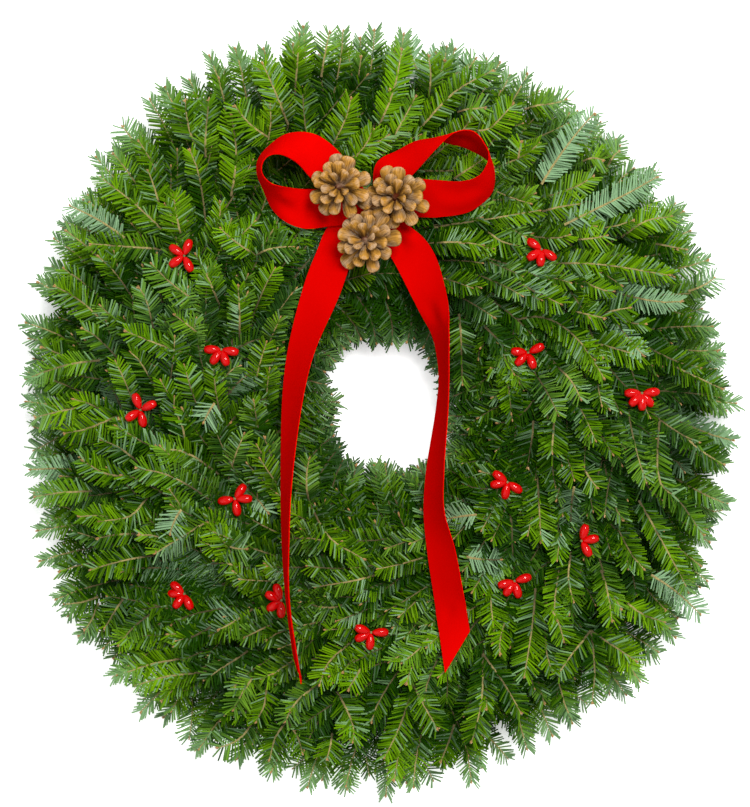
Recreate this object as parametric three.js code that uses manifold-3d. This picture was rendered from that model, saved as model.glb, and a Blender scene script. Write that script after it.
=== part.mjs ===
// Fresh evergreen wreath: balsam fir bunches bound to a crimped wire ring, with a velvet ribbon bow,
// three pine cones and thirteen berry picks.
// Millimetres, +Z up. The wreath lies on its back: the origin is on the surface it lies on, below the
// middle of its outline, +Y points to the bow (12 o'clock) and +Z out of its face.
import * as THREE from "three";
import { mergeVertices } from "three/addons/utils/BufferGeometryUtils.js";
import Module from "manifold-3d";

const wasm = await Module();
wasm.setup();

// Driving dimensions of the ring and its binding
const RING_RADIUS = 152.4; // a 12 inch wreath ring, at the middle of the wire
const RING_HEIGHT = 13;
const RING_WIRE = 1.9; // wire radius
const RING_CRIMP = 1.4; // height of a crimp above the middle
const BINDING_WIRE = 0.6; // wire radius
const BINDING_HALF_WIDTH = 12;
const BINDING_HALF_HEIGHT = 10;
const BINDING_MIDDLE = 11.2; // height of the middle of a turn
const BINDING_LEAD = 0.27; // share of the pitch that a turn passes ahead of its bunch's fork

// Driving dimensions of the fir
const BUNCHES = 28;
const PITCH = (2 * Math.PI) / BUNCHES;
const STEM_RADIUS = 2.3;
const STEM_SIDE = 5; // how far a bunch's butt lies beside the ring wire
const STEM_BACK = THREE.MathUtils.degToRad(10); // how far a butt runs back along the ring
const STEM_DROP = 8.5; // how far the butt's end lies below the fork
const STEM_LEAD = PITCH * 0.06; // how far the stem runs on past the fork
const STEM_LIFT = 1; // and how high above it
const FORK_HEIGHT = 17; // where the sprays of a bunch part, just above the ring
const SLOPE = 0.42; // rise of each bunch over its neighbour, per millimetre along the ring
const FLAT_FROM = 238; // from this radius outwards the back sprays lie on the surface
const INNER_BED = 9; // height of the lowest inner sprays
const TURN_BEND = 1.5; // how early a spray takes its turn along the ring
const REACH_BEND = 1.25; // how late it takes its way in or out
const NEEDLE_LENGTH = 17;
const NEEDLE_VARIATION = 0.08; // share by which needle lengths vary either way
const NEEDLE_ROOT = 2.6; // width of a needle where it leaves the body
const WIDEST_ROOT = 0.6; // the same as a share of a pair's stretch, at most
const NEEDLE_ANGLE = THREE.MathUtils.degToRad(52); // between twig and needle
const TIP_NEEDLE = 11;
const NEEDLE_LIFT = 0.6; // height of a needle's tip above the ramp
const LAST_NEEDLE = 0.8; // length of a spray's last side needles, as a share of the others'
const CORE_HALF_WIDTH = 3.6; // slim body of a spray that the needles stand out of
const CORE_HEIGHT = 2.6;
const LEAST_HALF_WIDTH = 1.2;
const LEAST_HEIGHT = 1.4;
const BUTT_HALF_WIDTH = 1.6; // of a spray where it leaves the fork
const BUTT_HEIGHT = 2.2;
const FULLNESS_AT_FORK = 0.18; // where along a half wave the body's fullness starts
const FULLNESS_AT_TIP = 0.92; // and where it ends
const CLEARANCE = 0.3;

// The sprays of a bunch: how far past the fork each ends, in degrees, then the radius of its end or
// how far that lies inside the wreath's edge, and how much both vary; and its pairs of side needles
const SPRAY_KINDS = {
  back: { degrees: 9, degreesSpread: 3, inset: 13, reachSpread: 8, pairs: 5 },
  outer: { degrees: 24, degreesSpread: 6, inset: 34, reachSpread: 22, pairs: 5 },
  front: { degrees: 36, degreesSpread: 6, reach: 207, reachSpread: 26, pairs: 5 },
  short: { degrees: 43, degreesSpread: 4, reach: 116, reachSpread: 12, pairs: 4 },
  inner: { degrees: 52, degreesSpread: 4, inset: 7, reachSpread: 5, pairs: 4 },
};
const NEEDLES_FROM = 0.2; // share of a spray that is bare twig
const BEND_ALLOWANCE = 1.08; // length of a spray along its bend, over that straight to its end

// How far the needle tips reach from the origin, at every hour of the clock from 12 round to 11
const REACH_BY_HOUR = [304, 298, 295, 293, 310, 298, 307, 308, 308, 289, 299, 312];
// The hole that the innermost tips leave, as seen from the front
const HOLE_RADIUS = 55;
const HOLE_CENTRE = new THREE.Vector2(4, -8);

// The places on the face are read off a front view of 750 by 807 pixels
const VIEW_CENTRE = new THREE.Vector2(375, 403.5);
const VIEW_OFFSET = new THREE.Vector2(-4.8, 2.4); // the view's axis, from the origin
const EYE_HEIGHT = 1900;
const VIEW_PLANE = 45; // height at which a pixel is PIXEL_SIZE wide
const PIXEL_SIZE = 0.8;

// Driving dimensions of the trimmings
const RIBBON_WIDTH = 32;
const RIBBON_THICKNESS = 0.8;
const TIE_WIRE = 0.9; // wire radius
const TIE_HALF_SPAN = 15.5; // between the middle of the tie and a leg
const TIE_MIDDLE = RING_RADIUS + 3;
const TIE_ROOM = 6; // kept free of sprays round each leg
const TIE_ROUNDNESS = 0.25; // 1 makes the tie an ellipse, near 0 a rectangle
const KNOT_SIZE = new THREE.Vector3(25, 19, 11);
const KNOT_PIXEL = new THREE.Vector2(368, 210);
const KNOT_HEIGHT = 66;
const CONE_RADIUS = 26;
const CONE_HEIGHT = 33;
const BERRY_LENGTH = 9.8;
const BERRY_RADIUS = 3;
const BERRY_OUT = 0.6; // from the middle of the pick
const BERRY_TILT = 0.25; // radians either way
const HUB_RADIUS = 1.9;

// Ribbon rulings: edge nearer the eye x, y, other edge x, y (pixels), height of the middle, width
const GATHERED = 14;
const LEFT_LOOP = [
  [362, 213, 366, 197, 69, GATHERED],
  [315, 182, 341, 154, 74, RIBBON_WIDTH],
  [296, 162, 314, 134, 80, RIBBON_WIDTH],
  [279, 154, 287, 134, 83, RIBBON_WIDTH],
  [268, 156, 269, 146, 84, RIBBON_WIDTH],
  [262, 164, 258, 160, 84, RIBBON_WIDTH],
  [262, 173, 257, 173, 83, RIBBON_WIDTH],
  [269, 182, 263, 189, 81, RIBBON_WIDTH],
  [282, 187, 275, 212, 79, RIBBON_WIDTH],
  [301, 189, 301, 228, 75, RIBBON_WIDTH],
  [325, 190, 330, 226, 71, RIBBON_WIDTH],
  [366, 201, 366, 218, 64, GATHERED],
];
const RIGHT_LOOP = [
  [376, 212, 371, 196, 70.5, GATHERED],
  [418, 169, 394, 151, 75, RIBBON_WIDTH],
  [433, 152, 417, 141, 81, RIBBON_WIDTH],
  [448, 137, 435, 139, 84, RIBBON_WIDTH],
  [456, 132, 444, 142, 85, RIBBON_WIDTH],
  [473, 132, 465, 147, 85, RIBBON_WIDTH],
  [487, 148, 483, 157, 85, RIBBON_WIDTH],
  [489, 156, 489, 162, 85, RIBBON_WIDTH],
  [488, 162, 494, 170, 84, RIBBON_WIDTH],
  [480, 175, 492, 192, 82, RIBBON_WIDTH],
  [462, 181, 471, 211, 79, RIBBON_WIDTH],
  [437, 180, 440, 217, 74, RIBBON_WIDTH],
  [412, 180, 414, 217, 69, RIBBON_WIDTH],
  [368, 202, 369, 219, 62.5, GATHERED],
];
const LEFT_TAIL = [
  [366, 216, 355, 207, 65, GATHERED],
  [351, 262, 317, 251, 72, RIBBON_WIDTH],
  [339, 296, 305, 282, 75, RIBBON_WIDTH],
  [315, 350, 289, 345, 77, RIBBON_WIDTH],
  [304, 392, 283, 392, 78, RIBBON_WIDTH],
  [292, 480, 281, 480, 79, RIBBON_WIDTH],
  [289, 540, 282, 540, 79, RIBBON_WIDTH],
  [289, 600, 286, 600, 78, RIBBON_WIDTH],
  [297, 658, 294, 658, 77, RIBBON_WIDTH],
  [301, 684, 298, 672, 76, 34],
];
const RIGHT_TAIL = [
  [376, 206, 365, 215, 66, GATHERED],
  [427, 242, 394, 262, 72, RIBBON_WIDTH],
  [445, 288, 412, 297, 75, RIBBON_WIDTH],
  [449, 333, 429, 335, 76, RIBBON_WIDTH],
  [449, 375, 438, 375, 77, RIBBON_WIDTH],
  [448, 410, 436, 410, 77, RIBBON_WIDTH],
  [444, 470, 426, 474, 76, RIBBON_WIDTH],
  [444, 510, 424, 514, 75, RIBBON_WIDTH],
  [455, 550, 428, 556, 73, RIBBON_WIDTH],
  [463, 592, 434, 596, 71, RIBBON_WIDTH],
  [470, 631, 445, 673, 69, 39],
];

// Pine cones: middle x, y (pixels), height, lean of the axis away from the knot, turn
const CONES = [
  { name: "pine_cone_left", at: [340, 187], height: 110, lean: [-0.16, 0.1], turn: 0.4 },
  { name: "pine_cone_right", at: [398, 196], height: 110, lean: [0.16, 0.08], turn: 2.1 },
  { name: "pine_cone_low", at: [368, 241], height: 110, lean: [0, -0.16], turn: 4.0 },
];

// Berry picks: middle x, y (pixels) and the directions of the berries in degrees
const BERRY_PICKS = [
  [183, 255, [145, 70, 215, 295]],
  [220, 349, [180, 235, 350, 290]],
  [139, 410, [110, 25, 215, 280]],
  [233, 500, [55, 190, 0, 280]],
  [180, 598, [140, 180, 235, 295]],
  [280, 603, [110, 155, 215, 270]],
  [371, 635, [160, 205, 265, 0]],
  [516, 583, [15, 195, 235, 285]],
  [509, 483, [145, 190, 260, 325]],
  [583, 542, [75, 10, 300]],
  [530, 352, [25, 175, 225, 290]],
  [644, 393, [180, 5, 225, 310, 270]],
  [543, 248, [145, 215, 265, 325]],
];

const material = (color, roughness, metalness = 0) =>
  new THREE.MeshStandardMaterial({ color, roughness, metalness });
const NEEDLE_GREEN = material(0x2f5a1c, 0.55);
const GREEN_WIRE = material(0x2c4a33, 0.45, 0.6);
const RIBBON_RED = material(0xd40a08, 0.8);
const CONE_BROWN = material(0xa57a4c, 0.85);
const BERRY_RED = material(0xd3060a, 0.15);

// A repeatable number from 0 to 1 for each pair of whole numbers.
function draw(i, j) {
  const s = Math.sin(i * 12.9898 + j * 78.233 + 3.7) * 43758.5453;
  return s - Math.floor(s);
}

const mix = THREE.MathUtils.lerp;
const ease = (t) => THREE.MathUtils.smoothstep(t, 0, 1);

// A point from its radius, its angle clockwise from 12 o'clock and its height.
const clock = (r, angle, z) => new THREE.Vector3(r * Math.sin(angle), r * Math.cos(angle), z);

// A point of the front view at a height.
function fromView(px, py, z) {
  const size = (PIXEL_SIZE * (EYE_HEIGHT - z)) / (EYE_HEIGHT - VIEW_PLANE);
  return new THREE.Vector3(
    VIEW_OFFSET.x + (px - VIEW_CENTRE.x) * size,
    VIEW_OFFSET.y - (py - VIEW_CENTRE.y) * size,
    z,
  );
}

// How far the tips reach at a clock angle.
function outerReach(angle) {
  const hour = ((((angle / (2 * Math.PI)) * 12) % 12) + 12) % 12;
  const from = Math.floor(hour);
  const share = ease(hour - from);
  return mix(REACH_BY_HOUR[from], REACH_BY_HOUR[(from + 1) % 12], share);
}

// The hole's edge, from the origin, at a clock angle.
function innerReach(angle) {
  const along = HOLE_CENTRE.x * Math.sin(angle) + HOLE_CENTRE.y * Math.cos(angle);
  const across = HOLE_CENTRE.lengthSq() - along * along;
  return along + Math.sqrt(HOLE_RADIUS * HOLE_RADIUS - across);
}

// Solids

function solidFrom(geometry) {
  const bare = geometry.clone();
  for (const name of Object.keys(bare.attributes)) if (name !== "position") bare.deleteAttribute(name);
  const merged = mergeVertices(bare, 1e-4);
  return new wasm.Manifold(
    new wasm.Mesh({
      numProp: 3,
      vertProperties: new Float32Array(merged.attributes.position.array),
      triVerts: new Uint32Array(merged.index.array),
    }),
  );
}

function geometryFrom(solid) {
  const mesh = solid.getMesh();
  const geometry = new THREE.BufferGeometry();
  geometry.setAttribute("position", new THREE.BufferAttribute(mesh.vertProperties, 3));
  geometry.setIndex(new THREE.BufferAttribute(mesh.triVerts, 1));
  geometry.computeVertexNormals();
  return geometry;
}

function geometryOf(points, faces) {
  const geometry = new THREE.BufferGeometry();
  geometry.setAttribute("position", new THREE.Float32BufferAttribute(points.flatMap((p) => p.toArray()), 3));
  geometry.setIndex(faces.flat());
  return geometry;
}

const fuse = (solids) => solids.reduce((whole, next) => whole.add(next));

// Foliage: every bunch spreads over its own ramp, which climbs clockwise above its neighbour's,
// so that the sprays of one bunch pass over those of the next and never through them.

function bedHeight(r) {
  if (r >= RING_RADIUS) return FORK_HEIGHT * (1 - ease((r - RING_RADIUS) / (FLAT_FROM - RING_RADIUS)));
  return mix(INNER_BED, FORK_HEIGHT, ease((r - HOLE_RADIUS) / (RING_RADIUS - HOLE_RADIUS)));
}

function rampHeight(r, turn, lying) {
  const fade = lying ? 1 - ease((r - RING_RADIUS) / (FLAT_FROM - RING_RADIUS)) : 1;
  return bedHeight(r) + SLOPE * r * turn * fade;
}

// The sprays of a bunch: where each ends, as a radius and an angle past the fork.
function spraysOf(bunch) {
  const kinds = ["back", "outer", "front", bunch % 2 ? "short" : "inner"];
  const vary = (number, spread) => (draw(bunch, number) - 0.5) * spread;
  const sprays = kinds.map((kind, i) => {
    const { degrees, degreesSpread, reach, inset, reachSpread } = SPRAY_KINDS[kind];
    const turn = THREE.MathUtils.degToRad(degrees + vary(2 * i + 1, degreesSpread));
    const angle = bunch * PITCH + turn;
    const edge = kind === "inner" ? innerReach(angle) + inset : outerReach(angle) - inset;
    const end = (reach ?? edge) + vary(2 * i + 2, reachSpread);
    return { bunch, kind, turn, reach: end, lying: kind === "back" };
  });
  return sprays.filter((spray) => !meetsTie(spray));
}

// The bow's tie is a loop of wire round the ring and the knot. Its two legs stand upright through
// the foliage, so a spray that would cross one is left off.
const KNOT = fromView(KNOT_PIXEL.x, KNOT_PIXEL.y, KNOT_HEIGHT);
const TIE_LEGS = [TIE_MIDDLE - TIE_HALF_SPAN, TIE_MIDDLE + TIE_HALF_SPAN].map(
  (y) => new THREE.Vector3(KNOT.x, y, 0),
);
const STRETCHES = 20; // short straight stretches that a spray is tested in

function meetsTie(spray) {
  const foot = new THREE.Vector3();
  for (let i = 0; i < STRETCHES; i++) {
    const from = sprayPoint(spray, i / STRETCHES).setZ(0);
    const to = sprayPoint(spray, (i + 1) / STRETCHES).setZ(0);
    const line = new THREE.Line3(from, to);
    if (TIE_LEGS.some((leg) => line.closestPointToPoint(leg, true, foot).distanceTo(leg) < TIE_ROOM)) return true;
  }
  return false;
}

const stemRadius = (bunch) => RING_RADIUS + (bunch % 2 ? -STEM_SIDE : STEM_SIDE);

// A spray leaves the fork along the ring and bends towards its end.
function sprayPolar(spray, t) {
  const turn = spray.turn * (1 - Math.pow(1 - t, TURN_BEND));
  const r = mix(stemRadius(spray.bunch), spray.reach, Math.pow(t, REACH_BEND));
  return [r, turn];
}

function sprayPoint(spray, t) {
  const [r, turn] = sprayPolar(spray, t);
  return clock(r, spray.bunch * PITCH + turn, rampHeight(r, turn, spray.lying));
}

// The point of a bunch's ramp below or above a plan position.
function onRamp(spray, x, y) {
  const r = Math.hypot(x, y);
  let turn = Math.atan2(x, y) - spray.bunch * PITCH;
  turn = Math.atan2(Math.sin(turn), Math.cos(turn));
  return new THREE.Vector3(x, y, rampHeight(r, turn, spray.lying));
}

const GLANCE = 0.02; // how far ahead and back along a spray its direction is taken

// The spray's own directions at a point: along it, to its right and up, all on the ramp.
function sprayFrame(spray, t) {
  const at = sprayPoint(spray, t);
  const ahead = sprayPoint(spray, Math.min(1, t + GLANCE));
  const behind = sprayPoint(spray, Math.max(0, t - GLANCE));
  const along = ahead.sub(behind).normalize();
  const plan = new THREE.Vector2(along.y, -along.x).normalize();
  const right = onRamp(spray, at.x + plan.x, at.y + plan.y).sub(at).normalize();
  const up = right.clone().cross(along).normalize();
  return { at, along, right, up };
}

// One spray: a slim three-sided core with a row of needles down each side and one at its tip.
function sprayGeometry(spray) {
  const points = [];
  const faces = [];
  const put = (p) => points.push(p) - 1;
  const station = (t, wide, high) => {
    const { at, right, up } = sprayFrame(spray, t);
    return {
      top: put(at.clone().addScaledVector(up, high)),
      left: put(at.clone().addScaledVector(right, -wide)),
      right: put(at.clone().addScaledVector(right, wide)),
    };
  };
  const fullness = (t) => Math.sin(Math.PI * mix(FULLNESS_AT_FORK, FULLNESS_AT_TIP, t));
  const widthAt = (t) => Math.max(LEAST_HALF_WIDTH, CORE_HALF_WIDTH * fullness(t));
  const heightAt = (t) => Math.max(LEAST_HEIGHT, CORE_HEIGHT * fullness(t));
  const needleTip = (t, side, reach) => {
    const { at, along, right, up } = sprayFrame(spray, t);
    const out = Math.sin(NEEDLE_ANGLE) * reach * side;
    const tip = at.addScaledVector(along, Math.cos(NEEDLE_ANGLE) * reach).addScaledVector(right, out);
    const lie = onRamp(spray, tip.x, tip.y);
    return put(lie.addScaledVector(up, spray.lying ? 0 : NEEDLE_LIFT));
  };
  const plain = (a, b) => {
    faces.push([a.top, b.left, a.left], [a.top, b.top, b.left]);
    faces.push([a.top, a.right, b.right], [a.top, b.right, b.top]);
    faces.push([a.left, b.left, b.right], [a.left, b.right, a.right]);
  };
  const butt = station(0, BUTT_HALF_WIDTH, BUTT_HEIGHT);
  let from = station(NEEDLES_FROM, widthAt(NEEDLES_FROM), heightAt(NEEDLES_FROM));
  faces.push([butt.top, butt.left, butt.right]);
  plain(butt, from);
  const length = sprayPoint(spray, 0).distanceTo(sprayPoint(spray, 1)) * BEND_ALLOWANCE;
  const { pairs } = SPRAY_KINDS[spray.kind];
  const step = (1 - NEEDLES_FROM) / pairs;
  for (let i = 1; i <= pairs; i++) {
    const t = NEEDLES_FROM + step * i;
    const to = station(t, widthAt(t), heightAt(t));
    const root = Math.min(WIDEST_ROOT, NEEDLE_ROOT / (length * step));
    const vary = mix(1 - NEEDLE_VARIATION, 1 + NEEDLE_VARIATION, draw(spray.bunch * 7 + i, 20));
    const reach = NEEDLE_LENGTH * vary * (i === pairs ? LAST_NEEDLE : 1);
    for (const side of ["left", "right"]) {
      const edge = put(points[from[side]].clone().lerp(points[to[side]], root));
      const tip = needleTip(t - step, side === "left" ? -1 : 1, reach);
      const needle = [
        [from.top, tip, from[side]],
        [from.top, edge, tip],
        [from.top, to[side], edge],
        [from.top, to.top, to[side]],
        [from[side], tip, edge],
      ];
      for (const face of needle) faces.push(side === "left" ? face : face.reverse());
      from["edge_" + side] = edge;
    }
    faces.push([from.left, from.edge_left, from.edge_right], [from.left, from.edge_right, from.right]);
    faces.push([from.edge_left, to.left, to.right], [from.edge_left, to.right, from.edge_right]);
    from = to;
  }
  const end = sprayFrame(spray, 1);
  const ahead = end.at.clone().addScaledVector(end.along, TIP_NEEDLE);
  const tip = put(onRamp(spray, ahead.x, ahead.y));
  faces.push([from.top, tip, from.left], [from.top, from.right, tip], [from.left, tip, from.right]);
  return geometryOf(points, faces);
}

// The bare stem that is bound to the ring, ending in a cut butt beside the wire.
function stemGeometry(bunch) {
  const path = [];
  for (let i = 0; i <= 3; i++) {
    const turn = STEM_LEAD - STEM_BACK * (1 - i / 3);
    const lift = FORK_HEIGHT + STEM_LIFT - STEM_DROP * (1 - i / 3);
    path.push(clock(stemRadius(bunch), bunch * PITCH + turn, lift));
  }
  const section = new THREE.Shape(
    [0, 1, 2, 3].map((i) => {
      const a = (i * Math.PI) / 2;
      return new THREE.Vector2(STEM_RADIUS * Math.cos(a), STEM_RADIUS * Math.sin(a));
    }),
  );
  const along = new THREE.CatmullRomCurve3(path);
  return new THREE.ExtrudeGeometry(section, { steps: 2, extrudePath: along });
}

function bunchSolid(bunch) {
  const sprays = spraysOf(bunch).map((spray) => solidFrom(sprayGeometry(spray)));
  return fuse([solidFrom(stemGeometry(bunch)), ...sprays]);
}

// Ring and wires

const ringHeight = (angle) => RING_HEIGHT + RING_CRIMP * Math.cos(angle * BUNCHES);

class CrimpedRing extends THREE.Curve {
  getPoint(t) {
    const angle = t * 2 * Math.PI;
    return clock(RING_RADIUS, angle, ringHeight(angle));
  }
}

class BindingTurns extends THREE.Curve {
  getPoint(t) {
    const wrap = t * 2 * Math.PI * BUNCHES;
    const out = BINDING_HALF_WIDTH * Math.sin(wrap);
    const lift = BINDING_HALF_HEIGHT * Math.cos(wrap);
    return clock(RING_RADIUS + out, (t * BUNCHES - BINDING_LEAD) * PITCH, BINDING_MIDDLE + lift);
  }
}

class TieLoop extends THREE.Curve {
  getPoint(t) {
    const a = t * 2 * Math.PI;
    const low = ringHeight(Math.asin(KNOT.x / RING_RADIUS)) - RING_WIRE - CLEARANCE - TIE_WIRE;
    const high = KNOT.z + KNOT_SIZE.z / 2 + CLEARANCE + TIE_WIRE;
    const squared = (v) => Math.sign(v) * Math.pow(Math.abs(v), TIE_ROUNDNESS);
    const y = TIE_MIDDLE + TIE_HALF_SPAN * squared(Math.cos(a));
    return new THREE.Vector3(KNOT.x, y, mix(low, high, (squared(Math.sin(a)) + 1) / 2));
  }
}

function wireGeometry(curve, steps, radius, sides) {
  curve.arcLengthDivisions = steps * 12;
  return new THREE.TubeGeometry(curve, steps, radius, sides, true);
}

// Bow

// A strip of ribbon through its rulings, with a little thickness. Both faces are split into
// triangles along the same diagonals, so that they stay apart where the strip twists.
function stripGeometry(rulings, steps) {
  const near = [];
  const far = [];
  for (const [nx, ny, fx, fy, z, width] of rulings) {
    const flat = fromView(nx, ny, z).distanceTo(fromView(fx, fy, z));
    const rise = Math.sqrt(Math.max(0, width * width - flat * flat)) / 2;
    near.push(fromView(nx, ny, z + rise));
    far.push(fromView(fx, fy, z - rise));
  }
  const nearEdge = new THREE.CatmullRomCurve3(near, false, "centripetal");
  const farEdge = new THREE.CatmullRomCurve3(far, false, "centripetal");
  const points = [];
  const faces = [];
  for (let i = 0; i <= steps; i++) {
    const t = i / steps;
    const a = nearEdge.getPoint(t);
    const b = farEdge.getPoint(t);
    const middle = (s) => nearEdge.getPoint(s).add(farEdge.getPoint(s));
    const along = middle(Math.min(1, t + 0.01)).sub(middle(Math.max(0, t - 0.01)));
    const normal = along.cross(b.clone().sub(a)).normalize();
    const half = RIBBON_THICKNESS / 2;
    points.push(a.clone().addScaledVector(normal, half), b.clone().addScaledVector(normal, half));
    points.push(b.clone().addScaledVector(normal, -half), a.clone().addScaledVector(normal, -half));
    if (i === 0) continue;
    const n = i * 4;
    const m = n - 4;
    faces.push([m, m + 1, n + 1], [m, n + 1, n], [m + 1, m + 2, n + 2], [m + 1, n + 2, n + 1]);
    faces.push([m + 2, m + 3, n + 2], [m + 3, n + 3, n + 2], [m + 3, m, n], [m + 3, n, n + 3]);
  }
  const last = steps * 4;
  faces.push([0, 3, 2], [0, 2, 1], [last, last + 1, last + 2], [last, last + 2, last + 3]);
  return geometryOf(points, faces);
}

function facingOut(solid) {
  if (solid.volume() > 0) return solid;
  const mesh = solid.getMesh();
  const turned = mesh.triVerts.slice();
  for (let i = 0; i < turned.length; i += 3) [turned[i + 1], turned[i + 2]] = [turned[i + 2], turned[i + 1]];
  return new wasm.Manifold(new wasm.Mesh({ numProp: 3, vertProperties: mesh.vertProperties, triVerts: turned }));
}

function bowSolid() {
  const strips = [
    [LEFT_LOOP, 16],
    [RIGHT_LOOP, 18],
    [LEFT_TAIL, 10],
    [RIGHT_TAIL, 11],
  ];
  const knot = new THREE.SphereGeometry(1, 8, 5);
  knot.rotateX(Math.PI / 2);
  knot.scale(KNOT_SIZE.x / 2, KNOT_SIZE.y / 2, KNOT_SIZE.z / 2);
  knot.translate(KNOT.x, KNOT.y, KNOT.z);
  const pieces = strips.map(([rulings, steps]) => facingOut(solidFrom(stripGeometry(rulings, steps))));
  return fuse([facingOut(solidFrom(knot)), ...pieces]);
}

// Pine cones

const SCALES = 16;
const GOLDEN_ANGLE = Math.PI * (3 - Math.sqrt(5));
const TOP_SCALE = 11; // length of the topmost scale
const LOWEST_SCALE = 5; // height at which the lowest scale starts
const HIGHEST_SCALE = CONE_HEIGHT - 13;
const LOWEST_PITCH = 0.02; // radians that a scale points up
const HIGHEST_PITCH = 1.2;
const SHORTENING = 1.4; // how late the scales grow shorter on the way up
const STEEPENING = 1.1; // how late they grow steeper

// One woody scale along +X: narrow root, wide rounded end, flat above and keeled below.
function scaleGeometry(length) {
  // Distance along the scale, half width, height of the flat and depth of the keel
  const stations = [
    [2, 1.8, 0.64, 0.96],
    [length * 0.8, 5, 1.2, 1.8],
    [length, 2.2, 0.72, 1.08],
  ];
  const points = stations.flatMap(([x, half, flat, keel]) => [
    new THREE.Vector3(x, half, flat),
    new THREE.Vector3(x, -half, flat),
    new THREE.Vector3(x, 0, -keel),
  ]);
  const faces = [[0, 1, 2]];
  for (let s = 1; s < stations.length; s++) {
    const n = s * 3;
    for (let j = 0; j < 3; j++) {
      const k = (j + 1) % 3;
      faces.push([n - 3 + j, n + j, n + k], [n - 3 + j, n + k, n - 3 + k]);
    }
  }
  const last = (stations.length - 1) * 3;
  faces.push([last, last + 2, last + 1]);
  return geometryOf(points, faces);
}

function coneSolid(turn) {
  const profile = [
    [0, 0],
    [7, 2],
    [6, 17],
    [0, CONE_HEIGHT - 3],
  ].map(([r, z]) => new THREE.Vector2(r, z));
  const core = new THREE.LatheGeometry(profile, 6).rotateX(Math.PI / 2);
  const solids = [facingOut(solidFrom(core))];
  for (let i = 0; i < SCALES; i++) {
    const up = i / (SCALES - 1);
    const length = mix(CONE_RADIUS, TOP_SCALE, Math.pow(up, SHORTENING));
    const scale = scaleGeometry(length);
    scale.rotateY(-mix(LOWEST_PITCH, HIGHEST_PITCH, Math.pow(up, STEEPENING)));
    scale.rotateZ(i * GOLDEN_ANGLE + turn);
    scale.translate(0, 0, mix(LOWEST_SCALE, HIGHEST_SCALE, up));
    solids.push(facingOut(solidFrom(scale)));
  }
  return fuse(solids);
}

// Berry picks

function berrySolid(directions, seed) {
  const profile = [
    [0, 0],
    [BERRY_RADIUS, BERRY_LENGTH * 0.4],
    [BERRY_RADIUS * 0.9, BERRY_LENGTH * 0.78],
    [0, BERRY_LENGTH],
  ].map(([r, y]) => new THREE.Vector2(r, y));
  const solids = directions.map((degrees, i) => {
    const berry = new THREE.LatheGeometry(profile, 5).rotateZ(-Math.PI / 2).translate(BERRY_OUT, 0, 0);
    berry.rotateY(mix(-BERRY_TILT, BERRY_TILT, draw(seed, i + 40)));
    berry.rotateZ(THREE.MathUtils.degToRad(degrees));
    return facingOut(solidFrom(berry));
  });
  const hub = new THREE.OctahedronGeometry(HUB_RADIUS, 0);
  return fuse([facingOut(solidFrom(hub)), ...solids]);
}

// The wreath

const wreath = new THREE.Group();

function addPiece(name, geometry, finish) {
  const mesh = new THREE.Mesh(geometry, finish);
  mesh.name = name;
  wreath.add(mesh);
  return mesh;
}

const number = (i) => String(i + 1).padStart(2, "0");

const bunches = Array.from({ length: BUNCHES }, (_, i) =>
  addPiece(`fir_bunch_${number(i)}`, geometryFrom(bunchSolid(i)), NEEDLE_GREEN),
);
addPiece("wire_ring", wireGeometry(new CrimpedRing(), BUNCHES * 2, RING_WIRE, 5), GREEN_WIRE);
addPiece("binding_wire", wireGeometry(new BindingTurns(), BUNCHES * 5, BINDING_WIRE, 3), GREEN_WIRE);
const tie = addPiece("bow_tie", wireGeometry(new TieLoop(), 20, TIE_WIRE, 4), GREEN_WIRE);
const bow = addPiece("bow_ribbon", geometryFrom(bowSolid()), RIBBON_RED);

// A trimming is let down onto the pieces below it: its own underside and their tops are felt for
// with upright rays on a close grid, and it stops where the nearest two are a clearance apart.
const REST_FROM = 150;
const FEELER_STEP = 0.6;
const FEELER_GAP = 0.9;

function restingHeight(piece, below) {
  piece.position.z = REST_FROM;
  piece.updateMatrixWorld();
  const box = new THREE.Box3().setFromObject(piece);
  const ray = new THREE.Raycaster();
  const down = new THREE.Vector3(0, 0, -1);
  const up = new THREE.Vector3(0, 0, 1);
  let drop = Infinity;
  for (let x = box.min.x; x <= box.max.x; x += FEELER_STEP) {
    for (let y = box.min.y; y <= box.max.y; y += FEELER_STEP) {
      ray.set(new THREE.Vector3(x, y, 0), up);
      const underside = ray.intersectObject(piece)[0];
      if (!underside) continue;
      ray.set(new THREE.Vector3(x, y, REST_FROM), down);
      const top = ray.intersectObjects(below)[0];
      if (top) drop = Math.min(drop, underside.point.z - top.point.z);
    }
  }
  return REST_FROM - drop + FEELER_GAP;
}

function letDown(piece, below) {
  piece.position.z = restingHeight(piece, below);
  piece.updateMatrixWorld();
}

for (const { name, at, height, lean, turn } of CONES) {
  const cone = addPiece(name, geometryFrom(coneSolid(turn)), CONE_BROWN);
  cone.position.copy(fromView(at[0], at[1], height));
  cone.rotation.set(-lean[1], lean[0], 0);
  letDown(cone, [bow, tie, ...bunches]);
}

BERRY_PICKS.forEach(([px, py, directions], i) => {
  const pick = addPiece(`berry_pick_${number(i)}`, geometryFrom(berrySolid(directions, i)), BERRY_RED);
  pick.position.copy(fromView(px, py, 75));
  letDown(pick, bunches);
});

export default wreath;
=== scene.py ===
import math
import random

import bpy
import numpy as np
from mathutils import Matrix, Vector


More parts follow.
